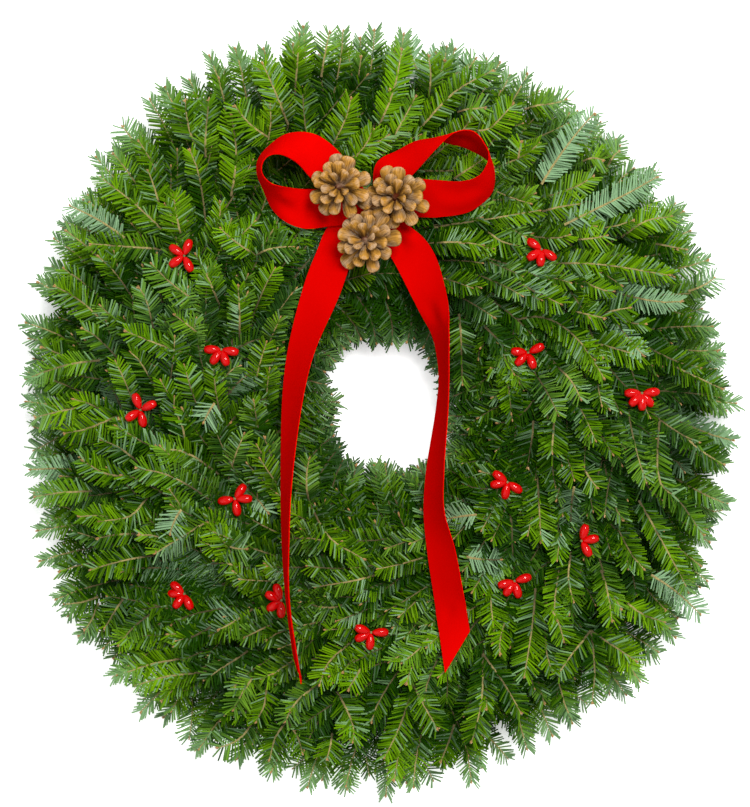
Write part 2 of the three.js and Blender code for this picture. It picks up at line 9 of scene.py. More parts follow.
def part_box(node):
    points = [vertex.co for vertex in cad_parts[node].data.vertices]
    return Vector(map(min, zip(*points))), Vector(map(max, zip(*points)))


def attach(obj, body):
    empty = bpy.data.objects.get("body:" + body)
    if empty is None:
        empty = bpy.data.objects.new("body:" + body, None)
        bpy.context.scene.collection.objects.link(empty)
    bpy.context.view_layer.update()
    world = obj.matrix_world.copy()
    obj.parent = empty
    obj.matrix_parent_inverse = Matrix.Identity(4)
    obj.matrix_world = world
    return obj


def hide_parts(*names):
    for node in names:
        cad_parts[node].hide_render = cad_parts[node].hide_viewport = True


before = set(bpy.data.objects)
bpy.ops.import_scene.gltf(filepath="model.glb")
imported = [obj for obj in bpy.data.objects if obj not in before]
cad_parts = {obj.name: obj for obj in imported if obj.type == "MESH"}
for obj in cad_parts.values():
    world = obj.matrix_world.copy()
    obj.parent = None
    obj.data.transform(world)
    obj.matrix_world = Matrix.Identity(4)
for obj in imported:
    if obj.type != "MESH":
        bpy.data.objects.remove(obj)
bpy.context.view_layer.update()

bl_info = {
    "name": "Fresh Evergreen Wreath",
    "version": (1, 0, 0),
    "blender": (4, 5, 0),
    "location": "3D View > Sidebar > Wreath",
    "description": "Dresses the wreath's frame with fir, ribbon, pine cones, berries and wire",
    "category": "Add Mesh",
}

MM = 0.001
TURN = 2 * math.pi

# The ring and its binding
RING_RADIUS = 152.4 * MM
RING_HEIGHT = 13 * MM
RING_WIRE = 1.9 * MM
RING_CRIMP = 1.4 * MM
BINDING_WIRE = 0.6 * MM
BINDING_HALF_WIDTH = 12 * MM
BINDING_HALF_HEIGHT = 10 * MM
BINDING_MIDDLE = 11.2 * MM
BINDING_LEAD = 0.27  # share of the pitch that a turn passes ahead of its bunch's fork

RING_STEPS = 12  # for each crimp
RING_SIDES = 12
BINDING_STEPS = 28  # for each turn
TIE_STEPS = 72
WIRE_SIDES = 8

# Seeds of the random draws: one more for each further bunch or cone
BUNCH_SEED = 900
FEATHER_SEED = 77
CONE_SEED = 70

# How the bunches lie on the ring
BUNCHES = 28
PITCH = TURN / BUNCHES
STEM_RADIUS = 2.2 * MM
STEM_SIDE = 5 * MM
STEM_BACK = math.radians(10)
STEM_DROP = 8.5 * MM
STEM_LEAD = PITCH * 0.06
STEM_LIFT = 1 * MM
STEM_POINTS = 4
STEM_SIDES = 6
STEM_TONE = 0.5
FORK_HEIGHT = 17 * MM
SLOPE = 0.42
FLAT_FROM = 238 * MM
INNER_BED = 9 * MM
HOLE_RADIUS = 55 * MM
HOLE_MARGIN = 6 * MM  # kept free of side feathers round the hole
TURN_BEND = 1.5  # how early a spray takes its turn along the ring
REACH_BEND = 1.25  # how late it reaches out
SPRAY_LIFT = 1.2 * MM
LOWEST_TWIG = 1.6 * MM
LOWEST_NEEDLE = 0.4 * MM

# How far out and in the tips reach from the ring's middle, clockwise from 12 o'clock (mm)
RIM_BY_HALF_HOUR = [
    304, 297, 294, 291, 295, 278, 287, 291, 299, 308, 297, 313,
    313, 314, 316, 308, 308, 290, 286, 294, 298, 304, 317, 312,
]
HOLE_BY_HOUR = [46, 54, 47, 45, 57, 54, 43, 47, 38, 31, 46, 53]

# The places on the face are read off a front view of 750 by 807 pixels
VIEW_SIZE = (750, 807)
VIEW_OFFSET = (-4.8 * MM, 2.4 * MM)
EYE_HEIGHT = 1900 * MM
VIEW_PLANE = 45 * MM
PIXEL_SIZE = 0.8 * MM

# How the needles stand round a twig: ranks at its sides, above, below and on top. Lift off the
# feather's plane and its spread in degrees, angle to the twig and its spread, length share,
# needles per millimetre
NEEDLE_RANKS = [
    (3, 5, 61, 4.5, 1.0, 0.98),
    (24, 7, 55, 5.5, 0.92, 0.20),
    (-26, 8, 55, 5.5, 0.92, 0.13),
    (62, 9, 38, 7, 0.62, 0.08),
]
FEWEST_NEEDLES = 3  # that make a rank
NEEDLE_KEEL = 0.34  # height over width

# How the needles change along the leafy part of a twig: the first and the last are short, and the
# last point forwards. Four numbers say what a value starts from, what it gains, from which share of
# the way on and over what share
FIRST_LENGTH = (0.7, 0.3, 0.0, 0.2)
LAST_LENGTH = (1.0, -0.3, 0.76, 0.24)
LAST_SLANT = (1.0, -0.5, 0.84, 0.16)

# How the needles of a twig differ
LENGTH_SPREAD = 0.06
WIDTH_SPREAD = 0.08
TWIST_SPREAD = 0.22
NEEDLE_BEND = 0.05
NEEDLE_TONE_SPREAD = 0.21
TONE_RISE = 0.3  # they are lighter towards its tip
NEEDLE_BLOOM_SPREAD = 0.03

# How the twigs differ, with their buds
SPRAY_TONE = 0.5
FEATHER_TONE = 0.55
BARK_TONE = 0.6
TWIG_TONE_SPREAD = 0.14
SIDE_TONE_SPREAD = 0.08
TWIG_BLOOM_SPREAD = 0.06
MOST_BLOOM = 0.8
FULLNESS = (0.85, 1.1)  # share of the needles' full length
TWIG_END = 0.45  # radius of its tip, as a share of its root's
BUD_LENGTH = (2.2, 3.2)  # mm
BUD_WIDTH = 0.55  # over its length
BUD_SPREAD = 0.5
BUD_TONE = 0.5

# Numbers of the materials in a bunch's mesh
NEEDLES = 0
BARK = 1
BUDS = 2

# The trimmings
RIBBON_WIDTH = 32 * MM
RIBBON_THICKNESS = 0.8 * MM
KNOT_PIXEL = (368, 210)
KNOT_HEIGHT = 66 * MM
KNOT_SIZE = (25 * MM, 32 * MM, 18 * MM)  # with the last turn of ribbon over the tie
KNOT_WRAP = 32 * MM  # length of ribbon drawn over the knot
TIE_WIRE = 0.9 * MM
TIE_HALF_SPAN = 15.5 * MM
TIE_MIDDLE = RING_RADIUS + 3 * MM
TIE_TOP = KNOT_HEIGHT + 6.7 * MM
TIE_GAP = 0.3 * MM
TIE_ROUNDNESS = 0.25  # 1 makes the tie an ellipse, near 0 a rectangle
KNOT_PLEATS = 9
KNOT_PLEAT_DEPTH = 0.06
GATHERED_WIDTH = 0.97  # a ribbon narrower than this share of its width is pleated
SHARP_FOLD = math.radians(50)  # shows as an edge of the ribbon
PLEATS = 3
PLEAT_START = 0.4
PLEAT_DEPTH = 0.8
RIBBON_CUP = 1.3 * MM  # how much it bulges across its width

# Ribbon rulings: edge nearer the eye x, y, other edge x, y (pixels), height of the middle and width (mm)
RIBBONS = {
    "bow_loop_left": [
        (362, 213, 366, 197, 69, 14), (315, 182, 341, 154, 74, 32), (296, 162, 314, 134, 80, 32),
        (279, 154, 287, 134, 83, 32), (268, 156, 269, 146, 84, 32), (262, 164, 258, 160, 84, 32),
        (262, 173, 257, 173, 83, 32), (269, 182, 263, 189, 81, 32), (282, 187, 275, 212, 79, 32),
        (301, 189, 301, 228, 75, 32), (325, 190, 330, 226, 71, 32), (366, 201, 366, 218, 64, 14),
    ],
    "bow_loop_right": [
        (376, 212, 371, 196, 70.5, 14), (398, 190, 376, 163, 72.5, 29), (418, 169, 397, 151, 75, 32),
        (433, 152, 417, 141, 81, 32), (448, 137, 435, 139, 84, 32), (456, 132, 444, 142, 85, 32),
        (473, 132, 465, 147, 85, 32), (487, 148, 483, 157, 85, 32), (489, 156, 489, 162, 85, 32),
        (488, 162, 494, 170, 84, 32), (480, 175, 492, 192, 82, 32), (462, 181, 471, 211, 79, 32),
        (437, 180, 440, 217, 74, 32), (412, 180, 414, 217, 69, 32), (368, 202, 369, 219, 62.5, 14),
    ],
    "bow_tail_left": [
        (366, 216, 355, 207, 63, 14), (361, 239, 328, 227, 64, 30), (351, 262, 317, 251, 72, 32),
        (339, 296, 305, 282, 75, 32), (315, 350, 289, 345, 77, 32), (304, 392, 283, 392, 78, 32),
        (292, 480, 281, 480, 79, 32), (289, 540, 282, 540, 79, 32), (289, 600, 286, 600, 78, 32),
        (297, 658, 294, 658, 77, 32), (301, 684, 298, 672, 76, 34),
    ],
    "bow_tail_right": [
        (376, 206, 365, 215, 66, 14), (427, 242, 394, 262, 72, 32), (445, 288, 412, 297, 75, 32),
        (449, 333, 432, 335, 76, 32), (449, 356, 437, 356, 77, 32), (449, 378, 439, 378, 77, 32),
        (448, 410, 436, 410, 77, 32),
        (444, 470, 426, 474, 76, 32), (444, 510, 424, 514, 75, 32), (455, 550, 428, 556, 73, 32),
        (463, 592, 434, 596, 71, 32), (470, 631, 445, 673, 69, 39),
    ],
}

# Pine cones: middle x, y (pixels), lean of the axis, and the way its first scale points (radians)
CONES = {
    "pine_cone_left": ((343, 187), (-0.17, -0.04), -0.63),
    "pine_cone_right": ((399, 198), (-0.15, 0.0), 3.53),
    "pine_cone_low": ((369, 242), (-0.15, 0.04), 1.55),
}
CONE_RADIUS = 26 * MM
CONE_STALK = 8 * MM  # from the foot down to the ribbon
FOOT_SCALES = 7
SCALE_LEVEL = 8 * MM  # the widest scales, above the foot of the cone
CONE_HEIGHT = 33 * MM
CONE_CAP = 8 * MM  # from the end of its core to its top
CORE_POINTS = 10
CORE_SIDES = 12
CORE_TONE = 0.05
CORE_RADII = ([-0.1, 0.15, 0.6, 1], [2.2, 7, 5, 1])  # shares of the core's height, and radii (mm)
LOWEST_SCALE = 5 * MM  # above the foot
SCALE_RANGE = 20 * MM  # of the cone's height has no scale rooted in it

# A scale of a cone, which is 1 long, the first of them in four numbers like the needles' above
SCALE_WIDTH = (0.055, 0.145, 0.05, 0.78)
SCALE_THICKNESS = (0.028, 0.052, 0.4, 0.5)
# Painted shade and light along a scale: dark at its root, lighter along it and at its end
SCALE_LIGHT = (0.06, 0.50, 0.1, 0.75)
SCALE_END_LIGHT = (0.0, 0.30, 0.86, 0.1)
SCALE_BLUNT_FROM = 0.76
SCALE_BLUNT_SPAN = 0.24
SCALE_ROOT = 0.04
SCALE_ROUNDNESS = (0.75, 0.7)  # across and up
SCALE_CURL = 0.10
RIDGE_HEIGHT = 0.050
RIDGE_WIDTH = 0.26
GROOVE_DEPTH = 0.022
GROOVE_PLACE = 0.62
GROOVE_WIDTH = 0.22
# Painted light on its upper side and its ridge, with painted shade in its grooves
UPPER_LIGHT = 0.20
RIDGE_LIGHT = 3.92

# Berry picks: middle x, y (pixels) and the directions of the berries in degrees
BERRY_PICKS = [
    (183, 255, (145, 70, 215, 295)),
    (220, 349, (180, 235, 350, 290)),
    (139, 410, (110, 25, 215, 280)),
    (233, 500, (55, 190, 0, 280)),
    (180, 598, (140, 180, 235, 295)),
    (280, 603, (110, 155, 215, 270)),
    (371, 635, (160, 205, 265, 0)),
    (516, 583, (15, 195, 235, 285)),
    (509, 483, (145, 190, 260, 325)),
    (583, 542, (75, 10, 300)),
    (530, 352, (25, 175, 225, 290)),
    (644, 393, (180, 5, 225, 310, 270)),
    (543, 248, (145, 215, 265, 325)),
]
BERRY_PLANE = 75 * MM  # height at which their pixels are read
BERRY_NARROWING = 0.30  # of its stalk end
DIMPLE_DEPTH = 0.12
DIMPLE_WIDTH = 0.05
BERRY_GAP = 0.8 * MM  # from the middle of the pick
BERRY_PITCH = 0.25  # most that a berry points up or down (radians)
STALK_TOP = 0.5 * MM
STALK_FOOT = 3 * MM
STALK_RADII = (0.8, 1.2, 0.9)  # mm
STALK_TONE = 0.2

# The room that the trimmings leave the foliage
RIBBON_ROOM = 1.5 * MM
CONE_ROOM_RADIUS = 20 * MM
CONE_ROOM = 3 * MM
PICK_ROOM_RADIUS = 8 * MM
PICK_ROOM = 1.2 * MM
ROOM_REACH = 36 * MM
ROOM_STEPS = 400  # along a ribbon, where the room below it is read
ROOM_STEPS_ACROSS = 33

# The sprays of a bunch: where they end, degrees past the fork and their spread, how far the end lies
# inside the rim or the hole's edge (or its radius) and its spread, lift of the tip off the ramp (mm)
BACK_SPRAY = ("rim", 9, 3, 6, 5, 0)
FRAME_SPRAYS = [BACK_SPRAY, ("rim", 24, 6, 26, 24, 1), ("ring", 36, 6, 207, 26, 5)]
ODD_SPRAY = ("ring", 43, 4, 116, 12, 2)
EVEN_SPRAY = ("hole", 52, 4, 7, 5, 1)
FILL_SPRAYS = [
    ("rim", 13, 5, 2, 5, 3),
    ("rim", 18, 6, 7, 8, 6),
    ("ring", 30, 6, 244, 22, 10),
    ("hole", 46, 5, 6, 6, 5),
    ("ring", 44, 6, 92, 8, 8),
]
SPRAY_BARE = 0.2  # share of a twig without needles
SPRAY_ROLL = 12  # spread in degrees

# The side feathers of a spray
SIDE_STARTS = (3, 6)  # numbers of the points of its path where they grow
LYING_SIDE_STARTS = (3, 6, 9)
SIDE_LENGTH = 24 * MM
SIDE_LENGTH_SHARE = 0.55  # more for each metre that the spray goes on
SIDE_VARIATION = (0.85, 1.15)
SIDE_CUTS = (1.0, 0.88, 0.76, 0.64, 0.52)  # lengths that are tried, until the feather keeps to the wreath
SIDE_ANGLE = 45
SIDE_ANGLE_SPREAD = 5
SIDE_BEND = 0.07
SIDE_STEPS = 5
SIDE_ROLL = 14
SIDE_BARE = 0.1
SIDE_RADIUS = 0.75  # over its spray's
SIDE_FULLNESS = 0.95
SIDE_RISE = (-8 * MM, 5 * MM)  # of the tip off its spray's ramp

# Undersides, wax and painted highlights
SILVER_SHARE = 0.02  # of the sprays show their undersides
PAINTED_GLINT_SHARE = 0.17  # of the needles get a painted highlight: paler and bluer, like light caught on their wax
PAINTED_GLINT_PALENESS = 0.62
BLOOM = 0.0  # how far the needles' upper sides turn to the blue of their undersides

# The feathers that lie on top: pixels from the root to the tip, clockwise from 12 o'clock
FEATHERS = [
    ((378, 128), (392, 91), (402, 48)), ((383, 153), (415, 97)), ((429, 94), (429, 55)),
    ((413, 135), (453, 89), (492, 69)), ((458, 111), (484, 108)), ((470, 130), (487, 128), (512, 105)),
    ((526, 107), (567, 97)), ((468, 68), (476, 57)), ((518, 163), (521, 143)), ((454, 179), (485, 158)),
    ((434, 227), (480, 223), (538, 211)), ((543, 211), (579, 204)), ((481, 227), (503, 242), (531, 246)),
    ((431, 244), (481, 246)), ((549, 263), (600, 267), (668, 275)), ((574, 239), (605, 236)),
    ((623, 236), (646, 222), (671, 216)), ((656, 242), (687, 248)), ((689, 291), (717, 277)),
    ((513, 281), (559, 304)), ((569, 310), (602, 318)), ((602, 314), (628, 308)),
    ((518, 319), (538, 322), (569, 340), (602, 377)), ((590, 342), (642, 356)), ((666, 362), (720, 388)),
    ((485, 327), (503, 350), (520, 383)), ((459, 314), (463, 383)), ((559, 368), (579, 398)),
    ((584, 160), (602, 160)), ((610, 163), (620, 150)), ((638, 500), (690, 592)),
    ((660, 421), (662, 478), (684, 499), (704, 535)), ((679, 431), (723, 464)), ((554, 416), (555, 486)),
    ((533, 421), (528, 467)), ((538, 475), (540, 540)), ((602, 571), (612, 620)), ((572, 553), (573, 600)),
    ((592, 632), (558, 672)), ((592, 632), (594, 704)), ((592, 632), (637, 662)), ((582, 467), (595, 486)),
    ((621, 597), (665, 623)), ((511, 514), (516, 579)), ((494, 571), (493, 623)), ((483, 654), (472, 740)),
    ((483, 654), (520, 711)), ((536, 589), (524, 675)), ((546, 602), (563, 639)), ((413, 685), (385, 758)),
    ((413, 685), (437, 729)), ((455, 727), (442, 763)), ((438, 623), (403, 662)),
    ((356, 639), (330, 662), (320, 683)), ((319, 684), (298, 704), (286, 720)),
    ((286, 722), (275, 737), (269, 761)), ((288, 722), (298, 737), (302, 753)),
    ((337, 693), (348, 724), (353, 740)), ((363, 665), (349, 688)), ((332, 735), (327, 759)),
    ((375, 575), (350, 583), (317, 587)), ((335, 543), (288, 539)), ((309, 504), (330, 538), (363, 558)),
    ((309, 504), (311, 480), (309, 460)), ((348, 604), (301, 602)), ((301, 605), (291, 615)),
    ((368, 623), (337, 621)), ((309, 649), (285, 665), (262, 679)), ((267, 678), (265, 706), (256, 722)),
    ((257, 672), (234, 709)), ((252, 724), (218, 749)), ((247, 652), (205, 680)),
    ((205, 674), (166, 678), (135, 687)), ((187, 659), (153, 660), (117, 676)), ((278, 623), (245, 637)),
    ((252, 610), (221, 628)), ((210, 628), (173, 648)), ((153, 613), (118, 645)), ((122, 600), (104, 628)),
    ((96, 605), (83, 631)), ((96, 598), (65, 605)), ((218, 591), (197, 604)), ((249, 586), (213, 587)),
    ((249, 569), (221, 566), (182, 573)), ((226, 545), (245, 549)), ((153, 556), (125, 562), (93, 569)),
    ((215, 517), (192, 535), (156, 553)), ((135, 534), (99, 538)), ((148, 496), (130, 514), (101, 521)),
    ((91, 491), (62, 492), (34, 497)), ((135, 478), (104, 474), (84, 461)),
    ((215, 506), (192, 488), (166, 474), (139, 468)), ((138, 462), (122, 451), (102, 440)),
    ((218, 474), (188, 449), (153, 443), (117, 426)), ((188, 449), (187, 428), (176, 409)),
    ((226, 486), (234, 460), (244, 435)), ((279, 470), (265, 439)), ((122, 414), (86, 430), (65, 433)),
    ((83, 406), (34, 417)), ((99, 360), (25, 378)), ((199, 357), (128, 332)), ((209, 344), (176, 316)),
    ((239, 342), (239, 288)), ((106, 325), (54, 286)), ((203, 305), (153, 265)), ((219, 304), (196, 255)),
    ((256, 255), (281, 214)), ((256, 255), (293, 247)), ((256, 255), (222, 230)), ((168, 249), (92, 244)),
    ((173, 241), (99, 176)), ((182, 240), (174, 197)), ((161, 209), (148, 171)), ((231, 196), (231, 116)),
    ((205, 156), (208, 99)), ((194, 143), (184, 99)), ((140, 150), (121, 125)), ((275, 140), (236, 107)),
    ((288, 124), (263, 64)), ((295, 94), (299, 34)), ((321, 74), (329, 31)),
]
SILVER_FEATHERS = [
    ((541, 185), (569, 151), (595, 112)), ((564, 225), (600, 212), (630, 197), (658, 176)),
    ((650, 574), (702, 615)), ((572, 486), (571, 527)), ((466, 556), (500, 560)), ((476, 514), (446, 519)),
    ((125, 238), (69, 205)), ((243, 486), (267, 512)), ((215, 403), (205, 421)), ((182, 509), (171, 532)),
]
FEATHER_PLANE = 60 * MM  # height at which their pixels are read
FEATHER_SINK = 2.5 * MM  # how deep a feather lies in the needles under it
ROOT_DIP = 9 * MM  # how far its root goes down among them
ROOT_SHARE = 0.3  # of its length
FEATHER_POINTS = 9
FEATHER_SWAY = 0.04
FEATHER_ROLL = 8
FEATHER_BARE = 0.03
FEATHER_RADIUS = 0.85  # over a spray's

# How far past its fork a bunch's sprays lie at two radii, to tell which bunch a feather belongs to
PAST_RADII = [200 * MM, 270 * MM]
PAST_DEGREES = [36, 24]

# Needles darken with their depth below the face: by how much, from what depth, over what depth,
# and how far in from the rim light reaches them from the side
DEPTH_SHADE = 0.62
SHADE_FROM = 2 * MM
SHADE_SPAN = 8 * MM
EDGE_LIGHT = 50 * MM
TOP_LIGHT = 0.17  # painted light: the needles are lighter at the top of the wreath
TOP_LIGHT_FROM = 60 * MM
TOP_LIGHT_SPAN = 110 * MM
BOW_SHADE = 0.48  # they darken behind the bow too
BOW_SHADE_PIXEL = (395, 300)
BOW_SHADE_REACH = 75 * MM
RIM_PAINTED_LIGHT = 0.85  # painted light at the edges: they turn to the paler blue of their undersides, partly undersides that show there and partly painted light
HOLE_PAINTED_LIGHT = 0.5
EDGE_PAINTED_LIGHT_WIDTH = 27 * MM

# Where the floor glows: full and none, in the hole, and none and full, past the rim
GLOW_RADII = (45 * MM, 75 * MM, 255 * MM, 300 * MM)
GLOW_STRENGTH = 0.6

# Light and camera: each lamp's place, size (m) and power (W)
LAMPS = {"window": ((0.7, 1.0, 2.9), 1.2, 86), "fill": ((-1.4, -0.9, 2.4), 2.4, 9)}
ROOM_LIGHT = 0.40
FLOOR_SIZE = 30
SENSOR_WIDTH = 36  # mm


def size_property(name, description, default):
    return bpy.props.FloatProperty(name=name, description=description, default=default, unit="LENGTH")


def colour_property(name, description, default):
    return bpy.props.FloatVectorProperty(
        name=name, description=description, default=default, subtype="COLOR")


class WreathSizes(bpy.types.PropertyGroup):
    needle_length: size_property("Needle length", "Length of a full-grown needle", 13.0 * MM)
    needle_width: size_property("Needle width", "Width of a needle at its middle", 1.38 * MM)
    twig_radius: size_property("Twig radius", "Radius of a spray's main twig at its base", 1.15 * MM)
    berry_length: size_property("Berry length", "Length of a berry", 13.8 * MM)
    berry_radius: size_property("Berry radius", "Half the width of a berry", 4.0 * MM)
    cone_scales: bpy.props.IntProperty(
        name="Cone scales", description="Number of scales on a pine cone", default=24, min=15, max=60)


class WreathColours(bpy.types.PropertyGroup):
    # The dark needles' colour stands for the oldest needles and for painted shade, the light needles' colour
    # for the youngest and for painted light, and the undersides' colour for painted light and highlights too
    needle_dark_old_and_shaded: colour_property("Dark needles", "Colour of the oldest needles", (0.010, 0.048, 0.0002))
    needle_light_young_and_lit: colour_property("Light needles", "Colour of the youngest needles", (0.163, 0.36, 0.003))
    needle_under_and_painted_light: colour_property(
        "Needle undersides", "Colour of the needles' undersides", (0.30, 0.51, 0.26))
    twig: colour_property("Twigs", "Colour of the bark", (0.45, 0.36, 0.13))
    bud: colour_property("Buds", "Colour of the buds", (0.48, 0.28, 0.10))
    ribbon: colour_property("Ribbon", "Colour of the velvet", (0.78, 0.0010, 0.0004))
    cone_edge: colour_property("Cone scale ends", "Colour of the scales' ends", (0.56, 0.265, 0.036))
    # The cone depths' colour is the scales' roots, darkened further by painted shade
    cone_root_and_shade: colour_property("Cone depths", "Colour of the scales' roots", (0.085, 0.008, 0.0003))
    berry: colour_property("Berries", "Colour of the berries", (0.72, 0.0006, 0.0006))
    wire: colour_property("Wire", "Colour of the lacquered wire", (0.03, 0.09, 0.045))


# Places

def draw(i, j):
    """A repeatable number from 0 to 1 for each pair of whole numbers."""
    s = math.sin(i * 12.9898 + j * 78.233 + 3.7) * 43758.5453
    return s - math.floor(s)


def ease(t):
    t = np.clip(t, 0, 1)
    return t * t * (3 - 2 * t)


def rising(x, start, gain, begin, span):
    """A value that gains smoothly on its start, between the beginning and the end of a span."""
    return start + gain * ease((x - begin) / span)


def clock(r, angle, z):
    """Points from radii, angles clockwise from 12 o'clock and heights."""
    return np.stack([r * np.sin(angle), r * np.cos(angle), z + 0 * r * angle], axis=-1)


def from_view(px, py, z):
    """A point of the front view at a height."""
    size = PIXEL_SIZE * (EYE_HEIGHT - z) / (EYE_HEIGHT - VIEW_PLANE)
    x = VIEW_OFFSET[0] + (px - VIEW_SIZE[0] / 2) * size
    y = VIEW_OFFSET[1] - (py - VIEW_SIZE[1] / 2) * size
    return np.array([x, y, z])


def by_hour(values, angle):
    """A length at clock angles, from its values at equal steps round the clock, from twelve."""
    steps = len(values)
    place_on_dial = np.mod(angle / TURN * steps, steps)
    start = np.floor(place_on_dial).astype(int)
    share = ease(place_on_dial - start)
    table = np.array(values) * MM
    return table[start % steps] * (1 - share) + table[(start + 1) % steps] * share


def rim_at(x, y):
    """How far a place lies inside the wreath's rim."""
    return by_hour(RIM_BY_HALF_HOUR, np.arctan2(x, y)) - np.hypot(x, y)


def ramp_height(r, turn, lying):
    """Height of a bunch's ramp at radii and angles past its fork."""
    out = 1 - ease((r - RING_RADIUS) / (FLAT_FROM - RING_RADIUS))
    inward = ease((r - HOLE_RADIUS) / (RING_RADIUS - HOLE_RADIUS))
    bed = np.where(r >= RING_RADIUS, FORK_HEIGHT * out, INNER_BED + (FORK_HEIGHT - INNER_BED) * inward)
    fade = out if lying else 1.0
    return bed + SLOPE * r * turn * fade


def on_ramp(bunch, x, y, lying):
    """Points of a bunch's ramp at plan positions."""
    r = np.hypot(x, y)
    turn = np.arctan2(x, y) - bunch * PITCH
    turn = np.arctan2(np.sin(turn), np.cos(turn))
    return np.stack([x, y, ramp_height(r, turn, lying)], axis=-1)


def stem_radius(bunch):
    return RING_RADIUS + (-STEM_SIDE if bunch % 2 else STEM_SIDE)


# Meshes

NO_TWIG_RUNS_ALONG = np.array([0.13, 0.21, 0.97])
NO_WIRE_RUNS_ALONG = np.array([0.0, 0.0, 1.0]) + 1e-4
ALONG_X = (0, math.pi / 2, 0)


def unit(v):
    return v / np.maximum(np.linalg.norm(v, axis=-1, keepdims=True), 1e-12)


def dress(obj, node):
    """Fixes a piece to the wreath in the place of a node."""
    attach(obj, "root")
    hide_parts(node)


def link(mesh, name):
    """A new object at the origin that holds a mesh."""
    obj = bpy.data.objects.new(name, mesh)
    bpy.context.scene.collection.objects.link(obj)
    return obj


def mesh_from_arrays(name, verts, tris, smooth=True):
    """A mesh of triangles from arrays."""
    mesh = bpy.data.meshes.new(name)
    mesh.vertices.add(len(verts))
    mesh.vertices.foreach_set("co", verts.astype(np.float32).ravel())
    mesh.loops.add(len(tris) * 3)
    mesh.loops.foreach_set("vertex_index", tris.astype(np.int32).ravel())
    mesh.polygons.add(len(tris))
    mesh.polygons.foreach_set("loop_start", np.arange(len(tris), dtype=np.int32) * 3)
    mesh.polygons.foreach_set("use_smooth", np.full(len(tris), smooth))
    mesh.update(calc_edges=True)
    return mesh


def only(obj):
    """Makes one object active and the only one selected."""
    bpy.ops.object.select_all(action="DESELECT")
    obj.select_set(True)
    bpy.context.view_layer.objects.active = obj


def arrays_of(obj):
    """Vertices and triangles of an object's mesh, after which the object is removed."""
    mesh = obj.data
    mesh.calc_loop_triangles()
    verts = np.empty(len(mesh.vertices) * 3)
    mesh.vertices.foreach_get("co", verts)
    tris = np.empty(len(mesh.loop_triangles) * 3, dtype=np.int64)
    mesh.loop_triangles.foreach_get("vertices", tris)
    bpy.data.objects.remove(obj)
    return verts.reshape(-1, 3), tris.reshape(-1, 3)


def primitive(add, **settings):
    """Vertices and triangles of a primitive mesh."""
    bpy.ops.object.select_all(action="DESELECT")
    add(**settings)
    bpy.ops.object.transform_apply(location=True, rotation=True, scale=True)
    return arrays_of(bpy.context.object)


def squared(v, roundness):
    """Bends a circle's coordinate towards a square's."""
    return np.sign(v) * np.abs(v) ** roundness


def rings(path, along, reference, radii, sides):
    """Points in a ring round each point of a path."""
    side = unit(np.cross(along, reference))
    up = np.cross(side, along)
    angles = np.arange(sides) * TURN / sides
    ring = np.cos(angles)[None, :, None] * side[:, None, :] + np.sin(angles)[None, :, None] * up[:, None, :]
    return (path[:, None, :] + ring * radii[:, None, None]).reshape(-1, 3)


def bands(near, far, sides):
    """Triangles between rings, from the numbers of each ring's first point and the next ring's."""
    j = np.arange(sides)[None, :]
    k = (j + 1) % sides
    a, b, c, d = near + j, near + k, far + k, far + j
    return np.concatenate([np.stack([a, d, c], -1).reshape(-1, 3), np.stack([a, c, b], -1).reshape(-1, 3)])


def tube(path, radii, sides):
    """Vertices and triangles of a closed tube along a path, tapering as the radii say."""
    verts = rings(path, unit(np.gradient(path, axis=0)), NO_TWIG_RUNS_ALONG, radii, sides)
    starts = np.arange(len(path) - 1)[:, None] * sides
    base = (len(path) - 1) * sides
    first, last = len(verts), len(verts) + 1
    j = np.arange(sides)
    k = (j + 1) % sides
    caps = np.concatenate([
        np.stack([np.full(sides, first), j, k], -1),
        np.stack([np.full(sides, last), base + k, base + j], -1),
    ])
    tris = np.concatenate([bands(starts, starts + sides, sides), caps])
    return np.vstack([verts, path[:1], path[-1:]]), tris


def ring_tube(path, radius, sides):
    """Vertices and triangles of a tube along a path that closes on itself."""
    along = unit(np.roll(path, -1, axis=0) - np.roll(path, 1, axis=0))
    verts = rings(path, along, NO_WIRE_RUNS_ALONG, np.full(len(path), radius), sides)
    i = np.arange(len(path))[:, None]
    return verts, bands(i * sides, (i + 1) % len(path) * sides, sides)


